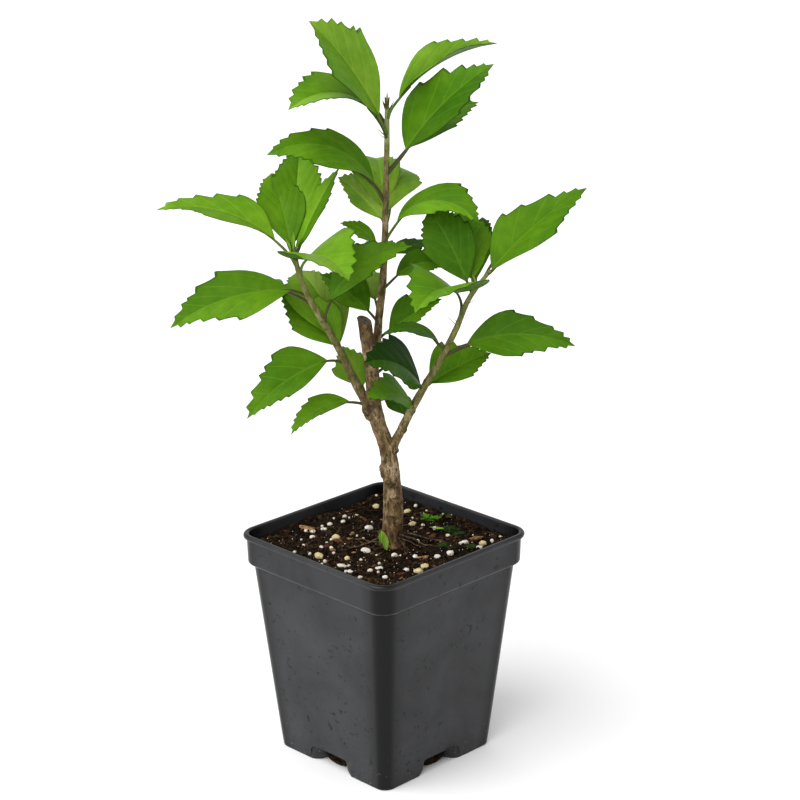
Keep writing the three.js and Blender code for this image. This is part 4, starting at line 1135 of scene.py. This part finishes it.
def bladeMesh(blade, seed):
    look, length = bladeLook, blade["length"]
    chance = np.random.default_rng(seed)
    phase = chance.uniform(0, 2 * math.pi, 2)
    scale = look["youngScale"] if length < look["youngLeaf"] else 1.0
    fold, thick = math.radians(blade["fold"]), look["thickness"] * scale / 2
    columns = 2 + len(look["columns"])
    points, faces, slots, veins = [], [], [], []
    for number, sign in enumerate((1, -1)):
        # Each half takes its own shade, which carries painted light and shade.
        shade = shadeNumber[blade["shade"] if sign > 0 else blade["left"]]
        rows = bladeRows(blade, sign, chance)
        half = blade["width"] / 2 * (1 + sign * blade["uneven"])
        firstVein = next(row[2] for row in rows if row[3])
        stops = [0.0] + [row[0] for row in rows if row[3]] + [1.0]
        first, tops, lows, lits = len(points), [], [], []
        for share, width, same, isVein in rows:
            rib = look["firstVein"] * same / firstVein
            if same > firstVein:
                beyond = ((same - firstVein) / (1 - firstVein)) ** look["veinSpread"]
                rib = look["firstVein"] + (1 - look["firstVein"]) * beyond
            reach = max(width * half, 1e-6)
            ribPart = min(0.4, look["ribHalf"] * scale * (1 - 0.75 * rib) / reach)
            shares = np.array([0, ribPart] + [ribPart + (1 - ribPart) * c for c in look["columns"]])
            along = rib + (share - rib) * shares ** look["veinBend"]
            point, _, side, normal = ribAt(blade, np.clip(along, 0, 1))
            # The inner part follows the plain outline, and only the edge the teeth.
            calm = half * plainHalf(blade, clamp(share), blade["wide"] + sign * blade["shift"])
            out = shares * (calm + (reach - calm) * shares**3)
            segment = min(np.searchsorted(stops, share, side="right") - 1, len(stops) - 2)
            part = (share - stops[segment]) / (stops[segment + 1] - stops[segment])
            quilt = look["quilt"] * scale * math.sin(math.pi * clamp(part)) * np.sin(
                math.pi * np.clip(shares, 0, 1) ** 0.8) * min(1, reach / 8)
            wave = look["wave"] * length * np.sin(
                2 * math.pi * look["waves"] * along + phase[number]) * shares**2 * min(1, reach / 6)
            rise = out * math.sin(fold) * (look["foldFoot"] - look["foldLoss"] * shares) + quilt + wave
            sheet = point + sign * side * (out * math.cos(fold))[:, None]
            high, low = rise + thick, rise - thick
            high[0] -= look["groove"] * scale
            low[:2] -= look["keel"] * scale * (1 - 0.7 * rib) * min(1, reach / 3)
            tops.append(sheet + normal * high[:, None])
            lows.append(sheet + normal * low[:, None])
            lit = np.where(shares < 0.9, 1.0, 0.5) if isVein else np.zeros(columns)
            lit[:2] = 1.0, 0.84
            lits.append(lit)
        veins.extend(np.concatenate(lits + lits))
        points.extend(np.vstack(tops + lows))
        gap = len(rows) * columns
        rim = shade - 2 if 2 <= shade <= look["palestRim"] else shade
        for k in range(len(rows) - 1):
            for c in range(columns):
                a, b = first + k * columns + c, first + (k + 1) * columns + c
                made = [((a, a + gap, b + gap, b), shadeNumber["edge"])]
                if c < columns - 1:
                    made = [((a, a + 1, b + 1, b), rim if c == columns - 2 else shade),
                            ((a + gap, b + gap, b + 1 + gap, a + 1 + gap), shadeNumber["under"])]
                for corners, slot in made:
                    faces.append(corners if sign > 0 else corners[::-1])
                    slots.append(slot)
    return points, faces, slots, veins


# The stalk leaves the limb, swings into the blade's direction and runs out under its rib.
stalkLook = {
    "footRadius": 1.1, "middleRadius": 0.72, "endRadius": 0.45, "sides": 9, "steps": 16, "reach": 0.14,
    "lead": 0.35, "pull": 0.3, "under": 0.35, "sunk": 0.45, "swell": 0.16, "narrowFrom": 0.55,
    "fullLength": 24, "brownNeedle": 0.48,
}


def stalkMesh(limbName, blade):
    foot = limbPoint(limbName, blade["foot"])
    start, along, _, normal = ribAt(blade, 0.0)
    sunk, _, _, sunkNormal = ribAt(blade, stalkLook["reach"])
    look = stalkLook
    young = min(1.0, blade["length"] / look["fullLength"])
    span = np.linalg.norm(start - foot)
    bend = (start - along * look["lead"] * span) * (1 - look["pull"]) + foot * look["pull"]
    line = [foot, bend, start - normal * look["under"] * young, sunk - sunkNormal * look["sunk"] * young]

    def radiusAt(share, angle):
        swollen = look["footRadius"] - look["middleRadius"]
        radius = look["middleRadius"] + swollen * math.exp(-((share / look["swell"]) ** 2))
        narrow = max(0, share - look["narrowFrom"]) / (1 - look["narrowFrom"])
        return young * (radius + (look["endRadius"] - radius) * narrow)

    return tube(smoothLine(line, look["steps"]), radiusAt, look["sides"])


stalkMaterials = [
    leafSkin("stalkGreen", (0.085, 0.14, 0.02), 0.5, 0.2, 0.2),
    leafSkin("stalkBrown", (0.05, 0.048, 0.013), 0.55, 0.2, 0.25),
]

# Bud scales and buds at the tips of the limbs and needles beside the stalks: limb, height, heading,
# rise, length, radius at the foot.
needles = [
    ("centre", 345, 200, 78, 5.5, 1.0), ("centre", 345.5, 330, 74, 5, 0.95),
    ("centre", 344, 250, 68, 4.5, 0.95), ("centre", 343, 170, 66, 5.5, 0.9),
    ("centre", 341.5, 355, 62, 7.5, 0.5), ("centre", 343.5, 10, 80, 6, 0.45),
    ("centre", 342, 262, 72, 6, 0.6), ("centre", 330, 185, 40, 8, 0.3), ("centre", 329, 160, 24, 5, 0.24),
    ("centre", 311, 20, 45, 4, 0.22), ("centre", 296, 170, 50, 4, 0.22), ("right", 236, 165, 40, 8, 0.22),
    ("right", 237, 190, 55, 5, 0.2), ("right", 248, 350, 25, 6, 0.22), ("right", 254, 200, 70, 6, 0.35),
    ("right", 256, 120, 60, 6, 0.35), ("right", 219, 10, 50, 4, 0.22), ("left", 270, 190, 60, 6, 0.3),
    ("left", 273, 230, 66, 7, 0.4), ("left", 274, 60, 64, 6, 0.35), ("left", 247, 160, 40, 4, 0.22),
    ("left", 219, 200, 40, 4, 0.22),
]


def needleMesh(limbName, height, heading, rise, length, radius):
    start = limbPoint(limbName, height)
    heading, rise = math.radians(heading), math.radians(rise)
    along = np.array([math.cos(rise) * math.cos(heading), math.cos(rise) * math.sin(heading), math.sin(rise)])
    path = [start + along * length * share + (0, 0, 0.06 * length * share**2) for share in (0, 0.35, 0.7, 1)]
    return tube(smoothLine(path, 8), lambda share, a: radius * (1.0 - 0.85 * share**1.6), 6)


def growFoliage():
    seed = bladeLook["seed"]
    for limbName in ("centre", "left", "right"):
        masses = {node: leaves for node, leaves in foliage.items() if node.startswith(limbName)}
        blades, stalks = Gather(), Gather()
        for leaves in masses.values():
            for blade in leaves:
                blades.addPlant(*bladeMesh(blade, seed))
                # Stalks of the bright, fresh and pale leaves take the green skin, the rest the darker brown
                # one: partly their own colour, partly painted shade that follows the leaves'.
                brown = 0 if blade["shade"] in ("bright", "fresh", "pale") else 1
                stalks.addPlant(*stalkMesh(limbName, blade), brown)
                seed += 1
        for needle in needles:
            if needle[0] == limbName:
                stalks.addPlant(*needleMesh(*needle), int(needle[-1] > stalkLook["brownNeedle"]))
        leavesPiece = blades.build(limbName + "Leaves", leafMaterials)
        mergeClose(leavesPiece)
        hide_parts(*masses)
        stalksPiece = stalks.build(limbName + "Stalks", stalkMaterials)
        for piece in (leavesPiece, stalksPiece):
            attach(piece, body)
        print(leavesPiece.name, len(leavesPiece.data.polygons), "faces")


growFoliage()

# Small leaves that the solids leave out, all on the soil but the last few: shade, where they start,
# heading, rise, length and width.
tuft = np.random.default_rng(7)
smallLeaves = [
    leaf(tuft.choice(["cool", "mid", "warm"]), 0,
         onSoil(24.8 + tuft.uniform(-3.2, 3.2), 38.5 + tuft.uniform(-2.4, 2.4), tuft.uniform(0.4, 1.6)),
         tuft.uniform(0, 360), tuft.uniform(10, 65), tuft.uniform(3.2, 5.6), tuft.uniform(2, 3),
         droop=tuft.uniform(20, 70), fold=tuft.uniform(5, 25), wide=0.55, taper=0.6)
    for _ in range(18)
] + [
    leaf("pale", 0, onSoil(-0.6, 3.0, 9.4), 300, -68, 11.5, 4.4, droop=12, fold=30, wide=0.55, taper=0.7),
    leaf("fresh", 0, onSoil(-1.2, 3.3, 9.8), 262, -60, 7.5, 3.2, droop=40, fold=30, wide=0.5, taper=0.7),
    leaf("browned", 0, onSoil(-1.2, 3.8, 10), 210, -30, 4, 2.2, droop=70, fold=30, wide=0.5, taper=0.7),
    leaf("fresh", 0, onSoil(24.5, 29.8, 1.4), 355, 6, 8.5, 3.6, droop=20, fold=-25, wide=0.5, taper=0.6),
    leaf("browned", 0, onSoil(30.5, 42, 1.0), 60, 55, 9, 5, droop=170, roll=25, fold=30, wide=0.5),
    leaf("browned", 0, onSoil(33, 43, 1.2), 20, 30, 7, 4, droop=130, roll=-25, fold=25, wide=0.5),
    leaf("fresh", 0, (-43.9, -11.2, 279), 80, 84, 9, 2.6, droop=12, roll=10, fold=40),
    leaf("fresh", 0, (-45.5, -11, 277), 140, 74, 8, 2.4, droop=20, roll=20, fold=40),
    leaf("fresh", 0, (-42.6, -10.5, 278), 30, 72, 8, 2.2, droop=15, roll=-10, fold=40),
    leaf("fresh", 0, (47.2, -7.4, 257.5), 150, 76, 7, 2.2, droop=15, roll=10, fold=35),
]


def growSmallLeaves():
    blades = Gather()
    for number, blade in enumerate(smallLeaves):
        blades.addPlant(*bladeMesh(blade, bladeLook["smallSeed"] + number))
    piece = blades.build("smallLeaves", leafMaterials)
    mergeClose(piece)
    return piece


smallLeavesPiece = growSmallLeaves()
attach(smallLeavesPiece, body)
print("leaves grown")


# Floor and soft studio light: an even surround and one wide, soft sun from the front left.
studio = {"floor": 12.0, "world": 0.8, "sun": 2.75, "sunWidth": 72, "sunFrom": (-0.88, -0.72, 1.05)}


def buildStudio():
    size = studio["floor"] / 2
    pale = Skin("paleFloor", 0.9, 0.1)
    pale.set("Base Color", (0.93, 0.93, 0.93))
    floor = addPiece("floor", [(-size, -size, 0), (size, -size, 0), (size, size, 0), (-size, size, 0)],
                     [(0, 1, 2, 3)], [pale.material])
    world = bpy.data.worlds.new("studio")
    bpy.context.scene.world = world
    world.use_nodes = True
    background = world.node_tree.nodes["Background"]
    background.inputs["Color"].default_value = (1, 1, 1, 1)
    background.inputs["Strength"].default_value = studio["world"]
    light = bpy.data.lights.new("sun", "SUN")
    light.energy = studio["sun"]
    light.angle = math.radians(studio["sunWidth"])
    lamp = bpy.data.objects.new("sun", light)
    bpy.context.scene.collection.objects.link(lamp)
    away = Vector(turned(studio["sunFrom"], layout["turn"]))
    lamp.location = away
    lamp.rotation_euler = (-away).to_track_quat("-Z", "Y").to_euler()


buildStudio()

print("done")
